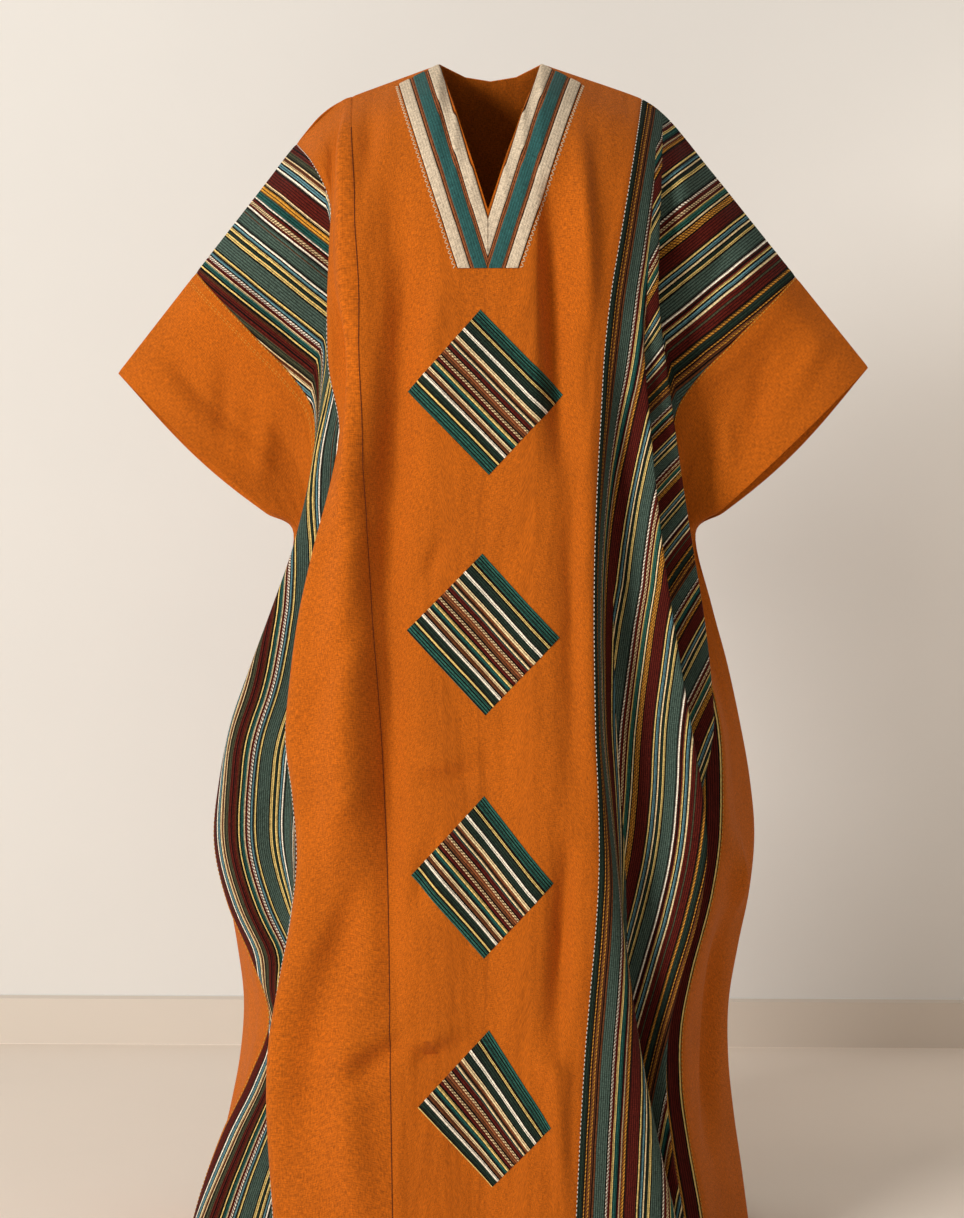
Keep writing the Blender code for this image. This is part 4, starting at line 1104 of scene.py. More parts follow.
@functools.cache
def weave_group():
    """Plain weave: a height, the thread's shade and a slow change of tone."""
    group, nodes, start, end = new_group(
        "plain_weave",
        (
            ("Vector", "NodeSocketVector", None),
            ("Across", "NodeSocketFloat", 900.0),
            ("Down", "NodeSocketFloat", 900.0),
            ("Unevenness", "NodeSocketFloat", 0.35),
        ),
        (
            ("Height", "NodeSocketFloat"),
            ("Shade", "NodeSocketFloat"),
            ("Tone", "NodeSocketFloat"),
        ),
    )
    place = start.outputs["Vector"]
    parts = nodes.axes(place)
    wander = nodes.noise(place, 60.0, 3.0)
    shift = nodes.math("MULTIPLY_ADD", wander, start.outputs["Unevenness"], 0.0)
    across_turn = nodes.math("MULTIPLY", parts[0], start.outputs["Across"])
    down_turn = nodes.math("MULTIPLY", parts[1], start.outputs["Down"])
    across_turn = nodes.math("ADD", nodes.math("MULTIPLY", across_turn, FULL_TURN), shift)
    down_turn = nodes.math("ADD", nodes.math("MULTIPLY", down_turn, FULL_TURN), shift)
    warp = nodes.math("ABSOLUTE", nodes.math("SINE", across_turn))
    weft = nodes.math("ABSOLUTE", nodes.math("SINE", down_turn))
    over = nodes.math("MULTIPLY", nodes.math("COSINE", across_turn), nodes.math("COSINE", down_turn))
    over = nodes.remap(over, -1.0, 1.0, 0.0, 1.0)
    height = nodes.add("ShaderNodeMix", data_type="FLOAT")
    nodes.link(over, height.inputs[0])
    nodes.link(warp, height.inputs[2])
    nodes.link(weft, height.inputs[3])
    nodes.link(height.outputs[0], end.inputs["Height"])
    ends, picks = (
        nodes.noise(nodes.stretched(place, scale), YARN_SCALE, 2.0, 0.75)
        for scale in ((1.0, YARN_STRETCH, 1.0), (YARN_STRETCH, 1.0, 1.0))
    )
    shade = nodes.math("ADD", nodes.math("MULTIPLY", ends, 0.5), nodes.math("MULTIPLY", picks, 0.5))
    nodes.link(shade, end.inputs["Shade"])
    nodes.link(nodes.noise(place, 9.0, 4.0, 0.6), end.inputs["Tone"])
    return group


@functools.cache
def twist_group():
    """Slanting turns of a two-coloured twisted yarn, as a mask."""
    group, nodes, start, end = new_group(
        "twisted_yarn",
        (("Vector", "NodeSocketVector", None), ("Turns", "NodeSocketFloat", 210.0)),
        (("Mask", "NodeSocketFloat"),),
    )
    parts = nodes.axes(start.outputs["Vector"])
    slant = nodes.math("ADD", parts[1], nodes.math("MULTIPLY", parts[0], 1.1))
    turns = nodes.math("MULTIPLY", start.outputs["Turns"], FULL_TURN)
    wave = nodes.math("SINE", nodes.math("MULTIPLY", slant, turns))
    nodes.link(nodes.remap(wave, -0.25, 0.25, 0.0, 1.0), end.inputs["Mask"])
    return group


def placed_group(nodes, group, **values):
    """A node that uses a group, with its inputs fed."""
    node = nodes.add("ShaderNodeGroup")
    node.node_tree = group
    for name, value in values.items():
        nodes.feed(node.inputs[name], value)
    return node


def linear(colour):
    """Linear red, green, blue, 1 of a colour as a screen shows it."""
    found = [
        value / 12.92 if value <= 0.04045 else ((value + 0.055) / 1.055) ** 2.4
        for value in colour
    ]
    return (*found, 1.0)


def shaded(colour, gain):
    """A linear colour made darker or lighter."""
    return tuple(min(value * gain, 1.0) for value in colour[:3]) + (1.0,)


def blank_material(name):
    """A new material with its nodes helper and its shader."""
    material = bpy.data.materials.new(name)
    material.use_nodes = True
    return material, Nodes(material.node_tree), material.node_tree.nodes["Principled BSDF"]


def started_material(name, roughness, sheen, sheen_tint):
    """A cloth's material with its nodes helper, its shader and its UV map."""
    material, nodes, shader = blank_material(name)
    shader.location = (5200, 0)
    material.node_tree.nodes["Material Output"].location = (5500, 0)
    shader.inputs["Roughness"].default_value = roughness
    shader.inputs["Specular IOR Level"].default_value = 0.25
    shader.inputs["Sheen Weight"].default_value = sheen
    shader.inputs["Sheen Roughness"].default_value = 0.5
    shader.inputs["Sheen Tint"].default_value = sheen_tint
    cut = nodes.add("ShaderNodeUVMap", uv_map="cut")
    return material, nodes, shader, cut.outputs["UV"]


def bumped(nodes, height, strength, distance, normal=None):
    """A normal moved by a height, on top of another normal where one is given."""
    bump = nodes.add("ShaderNodeBump")
    bump.inputs["Strength"].default_value = strength
    bump.inputs["Distance"].default_value = distance
    nodes.feed(bump.inputs["Height"], height)
    nodes.feed(bump.inputs["Normal"], normal)
    return bump.outputs["Normal"]


@functools.cache
def rumple_group():
    """The small soft creases of worn cloth, as a height in metres."""
    group, nodes, start, end = new_group(
        "soft_rumples", (("Vector", "NodeSocketVector", None),), (("Height", "NodeSocketFloat"),)
    )
    heights = []
    for turn, stretch, scale, depth in RUMPLES:
        placed = nodes.stretched(start.outputs["Vector"], (1.0, stretch, 1.0), turn)
        lump = nodes.noise(placed, scale, 2.0, 0.5)
        heights.append(nodes.math("MULTIPLY", lump, depth))
    total = heights[0]
    for height in heights[1:]:
        total = nodes.math("ADD", total, height)
    nodes.link(total, end.inputs["Height"])
    return group


def relief(nodes, shader, cut, height, pitch):
    """Bumps the shader's normal with the threads on top of the soft creases."""
    rumples = placed_group(nodes, rumple_group(), Vector=cut)
    slow = bumped(nodes, rumples.outputs["Height"], 1.0, 1.0)
    nodes.link(bumped(nodes, height, 0.5, pitch * 0.5, slow), shader.inputs["Normal"])


def plain_cloth(name, colour, settings, ribs=0.0, rib_shadow=0.0, centre_crease_shade=False):
    """A plain woven cloth of one colour, with uneven yarns, a slow change of tone, and painted shade
    in the weave's gaps, between its ribs and along the crease down the front's middle where asked.
    """
    material, nodes, shader, cut = started_material(
        name, settings.roughness, settings.sheen, linear(PLAIN_TINT)
    )
    threads = 1.0 / settings.thread_pitch / 2.0
    weave = placed_group(nodes, weave_group(), Vector=cut, Across=threads, Down=threads)
    base = linear(colour)
    dark = shaded(base, DARK_YARN_AND_CREASE_SHADE)
    light = shaded(base, LIGHT_YARN)
    shade = nodes.remap(weave.outputs["Shade"], 0.36, 0.64, 0.0, 1.0)
    tone = nodes.mix(shade, dark, light)
    slow = nodes.remap(weave.outputs["Tone"], 0.3, 0.7, 0.93, 1.05)
    # Painted shade: the cloth darker where the weave dips between its threads.
    gaps = nodes.remap(weave.outputs["Height"], 0.0, 0.5, 0.86, 1.0)
    tone = nodes.dimmed(tone, nodes.math("MULTIPLY", slow, gaps))
    height = weave.outputs["Height"]
    if ribs:
        cords = nodes.ridges(nodes.axes(cut)[0], ribs)
        height = nodes.math("ADD", height, nodes.math("MULTIPLY", cords, 1.5))
        # Painted shade: the yarn mixed towards black in the hollows between the ribs.
        shadow = nodes.remap(cords, 0.0, 0.6, rib_shadow, 0.0)
        tone = nodes.mix(shadow, tone, linear(YARNS["black"]))
    if centre_crease_shade:
        # Painted shade: the cloth darker along the crease pressed down the front's middle.
        away = nodes.math("ABSOLUTE", nodes.math("ADD", nodes.axes(cut)[0], CREASE_SHADE_AT))
        line = nodes.remap(away, *CREASE_SHADE_EDGE, 1.0, 0.0)
        tone = nodes.mix(nodes.math("MULTIPLY", line, CREASE_SHADE_STRENGTH), tone, dark)
    nodes.link(tone, shader.inputs["Base Color"])
    nodes.link(nodes.remap(weave.outputs["Shade"], 0.3, 0.7, 0.96, 0.82), shader.inputs["Roughness"])
    relief(nodes, shader, cut, height, settings.thread_pitch)
    return material


def stripe_ramps(nodes, position, stripes, twisted):
    """Colour of the stripes at a distance, from chained ramps with hard edges.

    Where twisted is true it gives a mask instead, white on the twisted stripes.
    """
    edges = np.concatenate([[0], np.cumsum([width for _, width, _ in stripes])]) / 1000.0
    result = None
    for first in range(0, len(stripes), RAMP_STOPS):
        part = stripes[first : first + RAMP_STOPS]
        low, high = edges[first], edges[first + len(part)]
        ramp = nodes.add("ShaderNodeValToRGB")
        ramp.color_ramp.interpolation = "CONSTANT"
        stops = ramp.color_ramp.elements
        for index, (yarn, _, twist) in enumerate(part):
            place = (edges[first + index] - low) / (high - low)
            stop = stops[index] if index < 2 else stops.new(place)
            stop.position = place
            stop.color = (twist, twist, twist, 1.0) if twisted else linear(YARNS[yarn])
        nodes.link(nodes.remap(position, low, high, 0.0, 1.0), ramp.inputs["Fac"])
        if result is None:
            result = ramp.outputs["Color"]
        else:
            beyond = nodes.math("GREATER_THAN", position, low)
            result = nodes.mix(beyond, result, ramp.outputs["Color"])
    return result


def striped_cloth(name, stripes, settings, ribs, wander):
    """Cloth with stripes along it, from the stripe table, in a ribbed weave, with painted shade in the
    weave's gaps, between the ribs and between the knots along them, and a painted highlight on the
    ribs' tops.
    """
    material, nodes, shader, cut = started_material(
        name, settings.roughness, settings.sheen * 0.2, STRIPED_TINT
    )
    shader.inputs["Specular IOR Level"].default_value = 0.12
    threads = 1.0 / settings.thread_pitch / 2.0
    weave = placed_group(nodes, weave_group(), Vector=cut, Across=threads, Down=threads)
    parts = nodes.axes(cut)
    period = sum(width for _, width, _ in stripes) / 1000.0
    jitter = nodes.remap(nodes.noise(cut, 16.0, 3.0), 0.0, 1.0, -wander, wander)
    position = nodes.math("ADD", parts[0], jitter)
    position = nodes.math("WRAP", position, period, 0.0)
    colour = stripe_ramps(nodes, position, stripes, False)
    twists = stripe_ramps(nodes, position, stripes, True)
    turns = placed_group(nodes, twist_group(), Vector=cut)
    spots = nodes.math("MULTIPLY", twists, turns.outputs["Mask"])
    colour = nodes.mix(nodes.math("MULTIPLY", spots, 0.85), colour, linear(YARNS["brown"]))
    shade = nodes.remap(weave.outputs["Shade"], 0.36, 0.64, 0.42, 1.50)
    # Painted shade: darker where the weave dips between its threads.
    gaps = nodes.remap(weave.outputs["Height"], 0.0, 0.6, 0.82, 1.0)
    slow = nodes.remap(weave.outputs["Tone"], 0.3, 0.7, 0.92, 1.06)
    gain = nodes.math("MULTIPLY", nodes.math("MULTIPLY", shade, gaps), slow)
    cords = nodes.ridges(position, ribs)
    # Painted shade between the ribs and a painted highlight on their tops.
    gain = nodes.math("MULTIPLY", gain, nodes.remap(cords, 0.15, 0.75, 0.16, 1.12))
    # Painted shade between the knots along each rib.
    knots = nodes.ridges(parts[1], ribs * KNOT_SHARE)
    gain = nodes.math("MULTIPLY", gain, nodes.remap(knots, 0.0, 0.6, 0.80, 1.0))
    nodes.link(nodes.dimmed(colour, gain), shader.inputs["Base Color"])
    nodes.link(nodes.remap(weave.outputs["Shade"], 0.3, 0.7, 0.95, 0.72), shader.inputs["Roughness"])
    height = nodes.math("ADD", weave.outputs["Height"], nodes.math("MULTIPLY", cords, 1.4))
    relief(nodes, shader, cut, height, settings.thread_pitch)
    return material


def thread_material(name, colour, shine):
    """Sewing thread with a fine uneven grain of darker and lighter yarn."""
    material, nodes, shader = blank_material(name)
    place = nodes.add("ShaderNodeTexCoord").outputs["Object"]
    grain = nodes.noise(place, 1800.0, 2.0, 0.7)
    base = linear(colour)
    dark = shaded(base, THREAD_SHADE)
    tone = nodes.mix(nodes.remap(grain, 0.35, 0.65, 0.0, 1.0), dark, base)
    nodes.link(tone, shader.inputs["Base Color"])
    nodes.link(nodes.remap(grain, 0.3, 0.7, shine + 0.12, shine), shader.inputs["Roughness"])
    shader.inputs["Specular IOR Level"].default_value = 0.3
    nodes.link(bumped(nodes, grain, 0.3, 0.0002), shader.inputs["Normal"])
    return material


@functools.cache
def finish(name):
    """A named finish of the robe, made once."""
    settings = bpy.context.scene.robe_cloth
    # Colour, rib spacing, strength of the painted shade between the ribs, and painted shade along the
    # crease down the front's middle.
    plain = {
        "orange": (tuple(settings.orange), 0.0, 0.0, False),
        "orange_centre": (tuple(settings.orange), 0.0, 0.0, True),
        "cream": (tuple(settings.cream), 0.0026, 0.10, False),
        "teal": (tuple(settings.teal), 0.0023, 0.50, False),
    }
    if name in plain:
        colour, ribs, rib_shadow, centre_crease_shade = plain[name]
        return plain_cloth("cloth_" + name, colour, settings, ribs, rib_shadow, centre_crease_shade)
    striped = {
        "stripes_left": (LEFT_STRIPES, SLEEVE_WEAVE),
        "stripes_right": (RIGHT_STRIPES, SLEEVE_WEAVE),
        "stripes_patch": (PATCH_STRIPES, PATCH_WEAVE),
        "stripes_band": (BAND_STRIPES, BAND_WEAVE),
    }
    if name in striped:
        stripes, (ribs, wander) = striped[name]
        return striped_cloth("cloth_" + name, stripes, settings, ribs, wander)
    return thread_material(name, *THREADS[name])


# ---- settings -----------------------------------------------------------------------


class RobeCloth(bpy.types.PropertyGroup):
    """Sizes and colours of the cloths."""

    thickness: bpy.props.FloatProperty(
        name="Cloth thickness", description="Thickness of the panels", default=CLOTH, unit="LENGTH"
    )
    trim_thickness: bpy.props.FloatProperty(
        name="Trim thickness",
        description="Thickness of the neckband, its tapes and the patches",
        default=TRIM,
        unit="LENGTH",
    )
    thread_pitch: bpy.props.FloatProperty(
        name="Thread pitch",
        description="Distance between neighbouring yarns of the weave",
        default=0.0008,
        unit="LENGTH",
    )
    creases: bpy.props.FloatProperty(
        name="Creases", description="Depth of the soft creases, 1 as drawn", default=2.4, min=0.0
    )
    roughness: bpy.props.FloatProperty(
        name="Roughness", description="Roughness of the cloth", default=0.92, subtype="FACTOR"
    )
    sheen: bpy.props.FloatProperty(
        name="Sheen", description="Soft sheen of the nap", default=0.05, subtype="FACTOR"
    )
    orange: bpy.props.FloatVectorProperty(
        name="Orange", description="Body cloth, as a screen shows it", default=(0.756, 0.374, 0.0)
    )
    cream: bpy.props.FloatVectorProperty(
        name="Cream", description="Outer tapes of the neckband", default=(0.86, 0.78, 0.67)
    )
    teal: bpy.props.FloatVectorProperty(
        name="Teal", description="Middle tape of the neckband", default=(0.17, 0.37, 0.36)
    )


class RobeStitches(bpy.types.PropertyGroup):
    """Sizes of the stitches that show."""

    pitch: bpy.props.FloatProperty(
        name="Seam pitch", description="Distance between stitches", default=0.0056, unit="LENGTH"
    )
    length: bpy.props.FloatProperty(
        name="Stitch length", description="Length of a seam stitch", default=0.0036, unit="LENGTH"
    )
    width: bpy.props.FloatProperty(
        name="Thread width", description="Width of the thread", default=0.0012, unit="LENGTH"
    )


class RobeStage(bpy.types.PropertyGroup):
    """Floor, wall, lights and camera."""

    floor: bpy.props.FloatProperty(
        name="Floor", description="Height of the floor", default=-1.535, unit="LENGTH"
    )
    wall: bpy.props.FloatProperty(
        name="Wall", description="Distance of the wall behind the robe", default=1.04, unit="LENGTH"
    )
    key: bpy.props.FloatProperty(
        name="Key light", description="Power of the key light", default=300.0, unit="POWER"
    )
    fill: bpy.props.FloatProperty(
        name="Fill light", description="Power of the fill light", default=5.0, unit="POWER"
    )
    wall_glow: bpy.props.FloatProperty(
        name="Wall light",
        description="Power of the light on the wall's right",
        default=5.5,
        unit="POWER",
    )
    sky: bpy.props.FloatProperty(
        name="Surroundings", description="Strength of the light from all round", default=0.34
    )
    lens: bpy.props.FloatProperty(
        name="Lens", description="Focal length in millimetres", default=75.0
    )


# ---- pieces -------------------------------------------------------------------------


def object_mode():
    """Leaves edit mode and deselects everything."""
    if bpy.context.mode != "OBJECT":
        bpy.ops.object.mode_set(mode="OBJECT")
    bpy.ops.object.select_all(action="DESELECT")


def facing(place, aim):
    """Turn of a light or a camera that looks from a place at an aim."""
    return (Vector(aim) - Vector(place)).to_track_quat("-Z", "Y").to_euler()


def cloth_panel(name, sheet, start, end, finish_name, nodes, reach=None):
    """Makes one panel of cloth, between two seams, with its flat cut as its UV map."""
    settings = bpy.context.scene.robe_cloth
    first, last = sheet.at[start], sheet.at[end]
    if reach is None:
        cut = cut_across(sheet, first, last)
        reach = (cut[:-1], cut[1:])
    piece = panel(name, sheet, first, last, *reach, settings.thickness)
    piece.data.materials.append(finish(finish_name))
    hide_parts(*nodes)


def sewn_panels(word, sheet, panels, stripes):
    """Makes the panels of one sheet; stripes holds the reach of the striped ones."""
    for name, start, end, finish_name in panels:
        nodes = [f"{word}_{name}"]
        if name.startswith("outer"):
            nodes.append(nodes[0].replace("outer", "cuff"))
        reach = stripes.get(name)
        cloth_panel(f"cloth_{word}_{name}", sheet, start, end, finish_name, nodes, reach)


def profile(shares, edge):
    """Heights across a strip at shares of its width, rounded down at both edges."""
    away = np.minimum(shares, 1 - shares)
    return EDGE_HEIGHT + (1 - EDGE_HEIGHT) * np.sin(np.clip(away / edge, 0, 1) * np.pi / 2)


def band_lines(side, start, end, steps):
    """Lines along the front band at shares of its width, down to its straight foot."""
    lines = []
    for share in start + (end - start) * steps:
        top = np.array([BAND_TOP[0], BAND_TOP[1]]) * (1 - share)
        top += np.array([BAND_TOP[2], BAND_TOP[3]]) * share
        foot = np.array([BAND_FOOT[0], BAND_FOOT[1]]) * (1 - share)
        foot += np.array([BAND_FOOT[2], BAND_FOOT[3]]) * share
        run = foot - top
        reach = min((BAND_END - top[1]) / run[1], (SEAM_GAP / 2 - top[0]) / run[0])
        line = top + run * np.linspace(0, reach, BAND_STEPS + 1)[:, None]
        line[:, 0] *= side
        lines.append(line)
    return lines


def back_band_lines(start, end, steps):
    """Lines round the back band at shares of its width."""
    turns = np.linspace(0.0, np.pi, BAND_STEPS + 1)
    lines = []
    for share in start + (end - start) * steps:
        half = BAND_TOP[0] + (BAND_TOP[2] - BAND_TOP[0]) * share
        top = BAND_TOP[1] + (BAND_TOP[3] - BAND_TOP[1]) * share
        fall = BACK_NECK + 0.001 + BAND_WIDTH * share + top
        lines.append(np.stack([half * np.cos(turns), top - fall * np.sin(turns)], axis=1))
    return lines


def strip(name, surface, lines, steps, low, width, finish_name, node):
    """A tape or band laid along lines, with rounded edges."""
    settings = bpy.context.scene.robe_cloth
    heights = np.repeat(profile(steps, TRIM_EDGE)[:, None], len(lines[0]), axis=1)
    piece = laid(name, surface, lines, low, heights, settings.trim_thickness, steps * width)
    piece.data.materials.append(finish(finish_name))
    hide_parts(node)
    for line in lines:
        points = np.array([surface.at(x, z)[0] for x, z in line[::4]])


def stitch_shape(name):
    """One short raised stitch, a metre long and lying along X, as points and faces."""
    object_mode()
    bpy.ops.mesh.primitive_uv_sphere_add(segments=6, ring_count=4, radius=0.5)
    stitch = bpy.context.object
    stitch.name = name
    bpy.ops.object.mode_set(mode="EDIT")
    bpy.ops.mesh.select_all(action="SELECT")
    bpy.ops.transform.rotate(
        value=math.pi / 2, orient_axis="Y", center_override=(0.0, 0.0, 0.0)
    )
    bpy.ops.object.mode_set(mode="OBJECT")
    points = np.array([vert.co[:] for vert in stitch.data.vertices])
    # The sphere's faces come in no fixed order, so each run puts them in the same one.
    faces = []
    for face in stitch.data.polygons:
        corners = list(face.vertices)
        start = corners.index(min(corners))
        faces.append(corners[start:] + corners[:start])
    bpy.data.meshes.remove(stitch.data)
    return points, sorted(faces)


def stitch_row(name, paths, shape, pitch, size, slant=0.0, alternate=0.0):
    """A row of stitches along paths of points and normals; size is length, width, height."""
    local, pattern = shape
    length, width, height = size
    points, faces = [], []
    count = 0
    for path, normals in paths:
        along = np.concatenate([[0], np.cumsum(np.linalg.norm(np.diff(path, axis=0), axis=1))])
        places = np.arange(pitch / 2, along[-1] - pitch / 4, pitch)
        if not len(places):
            continue

        def on_path(table, distance):
            return np.stack([np.interp(distance, along, table[:, k]) for k in range(3)], axis=1)

        centre = on_path(path, places)
        normal = on_path(normals, places)
        normal /= np.linalg.norm(normal, axis=1, keepdims=True)
        run = on_path(path, places + 0.001) - on_path(path, places - 0.001)
        run /= np.linalg.norm(run, axis=1, keepdims=True)
        side = np.cross(normal, run)
        turn = np.where(np.arange(len(places)) % 2 == 0, slant, slant - 2 * alternate)[:, None]
        axis = run * np.cos(turn) + side * np.sin(turn)
        wide = np.cross(normal, axis)
        for spot, lengthwise, sideways, out in zip(centre, axis, wide, normal):
            frame_of = np.stack([lengthwise * length, sideways * width, out * height])
            points.append(spot + local @ frame_of)
            faces.extend([[corner + count for corner in face] for face in pattern])
            count += len(local)
    mesh = bpy.data.meshes.new(name)
    mesh.from_pydata(np.concatenate(points).tolist(), [], faces)
    mesh.polygons.foreach_set("use_smooth", np.ones(len(mesh.polygons), dtype=bool))
    mesh.update()
    return finished_object(name, mesh)


def finished_row(piece, finish_name):
    """Gives a row of stitches its thread."""
    piece.data.materials.append(finish(finish_name))


# ---- operators ----------------------------------------------------------------------


class ROBE_OT_stage(bpy.types.Operator):
    """Add the floor with its wall and skirting, the lights and the camera"""

    bl_idname = "robe.stage"
    bl_label = "Stage"

    def execute(self, context):
        settings = context.scene.robe_stage
        object_mode()
        middle = settings.wall - SKIRTING[0] - ROOM_DEPTH / 2
        bpy.ops.mesh.primitive_plane_add(size=ROOM_DEPTH, location=(0.0, middle, settings.floor))
        room = context.object
        room.name = "studio_room"
        bpy.ops.object.mode_set(mode="EDIT")
        bpy.ops.mesh.select_mode(type="EDGE")
        bpy.ops.mesh.select_all(action="DESELECT")
        shape = bmesh.from_edit_mesh(room.data)
        for edge in shape.edges:
            edge.select = all(vert.co.y > 0 for vert in edge.verts)
        bmesh.update_edit_mesh(room.data)
        for step in ((0, 0, SKIRTING[1]), (0, SKIRTING[0], SKIRTING_LIP), (0, 0, WALL_HEIGHT)):
            bpy.ops.mesh.extrude_region_move(TRANSFORM_OT_translate={"value": step})
        bpy.ops.mesh.select_all(action="SELECT")
        bpy.ops.mesh.normals_make_consistent(inside=False)
        bpy.ops.object.mode_set(mode="OBJECT")
        bpy.ops.object.transform_apply(location=True, rotation=True, scale=True)
        floor_face = min(room.data.polygons, key=lambda face: face.center.z)
        if floor_face.normal.z < 0:
            room.data.flip_normals()
        room.data.materials.append(room_material(settings.floor))

        for name, power, size, place, aim, colour in LIGHTS:
            bpy.ops.object.light_add(type="AREA", location=place)
            light = context.object
            light.name = name
            light.data.energy = getattr(settings, power)
            light.data.size = size
            light.data.color = colour
            light.rotation_euler = facing(place, aim)

        world = bpy.data.worlds.new("studio_air")
        world.use_nodes = True
        background = world.node_tree.nodes["Background"]
        background.inputs["Color"].default_value = AIR
        background.inputs["Strength"].default_value = settings.sky
        context.scene.world = world
        context.scene.view_settings.view_transform = "Standard"

        bpy.ops.object.camera_add(location=CAMERA_PLACE)
        camera = context.object
        camera.name = "front_camera"
        camera.data.lens = settings.lens
        camera.rotation_euler = facing(CAMERA_PLACE, CAMERA_AIM)
        context.scene.camera = camera
        object_mode()
        return {"FINISHED"}


class ROBE_OT_front_panels(bpy.types.Operator):
    """Sew the six panels of the front"""

    bl_idname = "robe.front_panels"
    bl_label = "Front panels"

    def execute(self, context):
        front, _ = robe_sheets(context.scene.robe_cloth.creases)
        stripes = {
            "stripe_left": stripe_reach(front, -1),
            "stripe_right": stripe_reach(front, 1, RIGHT_FRONT_ZONES),
        }
        sewn_panels("front", front, FRONT_PANELS, stripes)
        return {"FINISHED"}


class ROBE_OT_back_panels(bpy.types.Operator):
    """Sew the five panels of the back"""

    bl_idname = "robe.back_panels"
    bl_label = "Back panels"

    def execute(self, context):
        _, back = robe_sheets(context.scene.robe_cloth.creases)
        stripes = {"stripe_left": stripe_reach(back, -1), "stripe_right": stripe_reach(back, 1)}
        sewn_panels("back", back, BACK_PANELS, stripes)
        return {"FINISHED"}


class ROBE_OT_neckband(bpy.types.Operator):
    """Lay the neckband and its tapes round the neck"""

    bl_idname = "robe.neckband"
    bl_label = "Neckband"

    def execute(self, context):
        cloth = context.scene.robe_cloth
        front, back = robe_sheets(cloth.creases)
        on_panel = cloth.thickness / 2 + SEAM_GAP
        on_band = on_panel + cloth.trim_thickness * TAPE_SINK
        surfaces = {"left": Surface(front), "right": Surface(front), "back": Surface(back)}
        steps = np.array(TAPE_STEPS)
        ground = np.linspace(0, 1, BAND_LINES)
        for word, side in (("left", -1), ("right", 1), ("back", 0)):
            surface = surfaces[word]
            lift = BACK_LIFT * 0.4 if word == "back" else 0.0

            def lines(start, end, shares):
                if word == "back":
                    return back_band_lines(start, end, shares)
                return band_lines(side, start, end, shares)

            band = f"ochre_band_{word}"
            strip(
                band, surface, lines(0.0, 1.0, ground), ground, on_panel + lift, BAND_WIDTH,
                "stripes_band", f"neckband_{word}",
            )
            for tape, start, end, colour in TAPES:
                width = max((end - start) * BAND_WIDTH, LEAST_TAPE)
                strip(
                    f"{tape}_tape_{word}", surface, lines(start, end, steps), steps,
                    on_band + lift, width, colour, f"tape_{tape}_{word}",
                )
        return {"FINISHED"}


class ROBE_OT_patches(bpy.types.Operator):
    """Lay the four striped diamond patches down the front"""

    bl_idname = "robe.patches"
    bl_label = "Diamond patches"

    def execute(self, context):
        cloth = context.scene.robe_cloth
        front, _ = robe_sheets(cloth.creases)
        surface = Surface(front)
        steps = np.linspace(0, 1, PATCH_STEPS + 1)
        for number, (x, z, top, right, bottom, left) in enumerate(PATCHES, 1):
            centre = np.array([x, z])
            top, right, bottom, left = (centre + corner for corner in (top, right, bottom, left))
            starts = top + (left - top) * steps[:, None]
            ends = right + (bottom - right) * steps[:, None]
            lines = [
                first + (last - first) * steps[:, None] for first, last in zip(starts, ends)
            ]
            sides = np.linalg.norm(starts[-1] - starts[0]) + np.linalg.norm(ends[-1] - ends[0])
            width = float(sides) / 2
            low = cloth.thickness / 2 + SEAM_GAP
            rounded = profile(steps, PATCH_EDGE)
            heights = np.minimum(rounded[:, None], rounded[None, :])
            piece = laid(
                f"striped_patch_{number}", surface, lines, low, heights,
                cloth.trim_thickness, steps * width,
            )
            piece.data.materials.append(finish("stripes_patch"))
            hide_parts(f"diamond_patch_{number}")
        return {"FINISHED"}


class ROBE_OT_seam_stitches(bpy.types.Operator):
    """Sew the stitches that show along the seams"""

    bl_idname = "robe.seam_stitches"
    bl_label = "Seam stitches"

    def execute(self, context):
        cloth = context.scene.robe_cloth
        sizes = context.scene.robe_stitches
        sheets = dict(zip(("front", "back"), robe_sheets(cloth.creases)))
        shape = stitch_shape("seam_stitch")
        on_cloth = cloth.thickness / 2
        size = (sizes.length, sizes.width, sizes.width)
        bottom = (SHOULDER_ROWS + SKIRT_ROWS) * FINE + 1
        for name, seam, offset, finish_name, slot, share in SEAM_ROWS:
            for word, sheet in sheets.items():
                for side in ("left", "right"):
                    path = seam_path(sheet, f"{side}_{seam}", offset, (0, bottom), on_cloth)
                    piece = stitch_row(
                        f"{name}_stitches_{word}_{side}", [path], shape, sizes.pitch,
                        tuple(value * share for value in size),
                    )
                    finished_row(piece, finish_name)
        path = seam_path(sheets["front"], "left_bust_seam", 0.0, (FINE, bottom), on_cloth)
        length, width, height = BUST_THREAD
        piece = stitch_row(
            "bust_seam_stitches", [path], shape, sizes.length,
            (sizes.length * length, width, height),
        )
        finished_row(piece, "seam_thread")
        return {"FINISHED"}


class ROBE_OT_cuff_stitches(bpy.types.Operator):
    """Sew the double row on the left cuff"""

    bl_idname = "robe.cuff_stitches"
    bl_label = "Cuff stitches"

    def execute(self, context):
        cloth = context.scene.robe_cloth
        sizes = context.scene.robe_stitches
        sheets = dict(zip(("front", "back"), robe_sheets(cloth.creases)))
        shape = stitch_shape("cuff_stitch")
        size = (sizes.length, sizes.width * CUFF_THREAD, sizes.width * CUFF_THREAD)
        rows = (0, SHOULDER_FINE - FINE)
        for word, sheet in sheets.items():
            paths = [
                seam_path(sheet, "left_gold_seam", offset, rows, cloth.thickness / 2)
                for offset in CUFF_ROWS
            ]
            piece = stitch_row(f"double_stitches_{word}", paths, shape, sizes.pitch, size)
            finished_row(piece, "gold_thread")
        return {"FINISHED"}


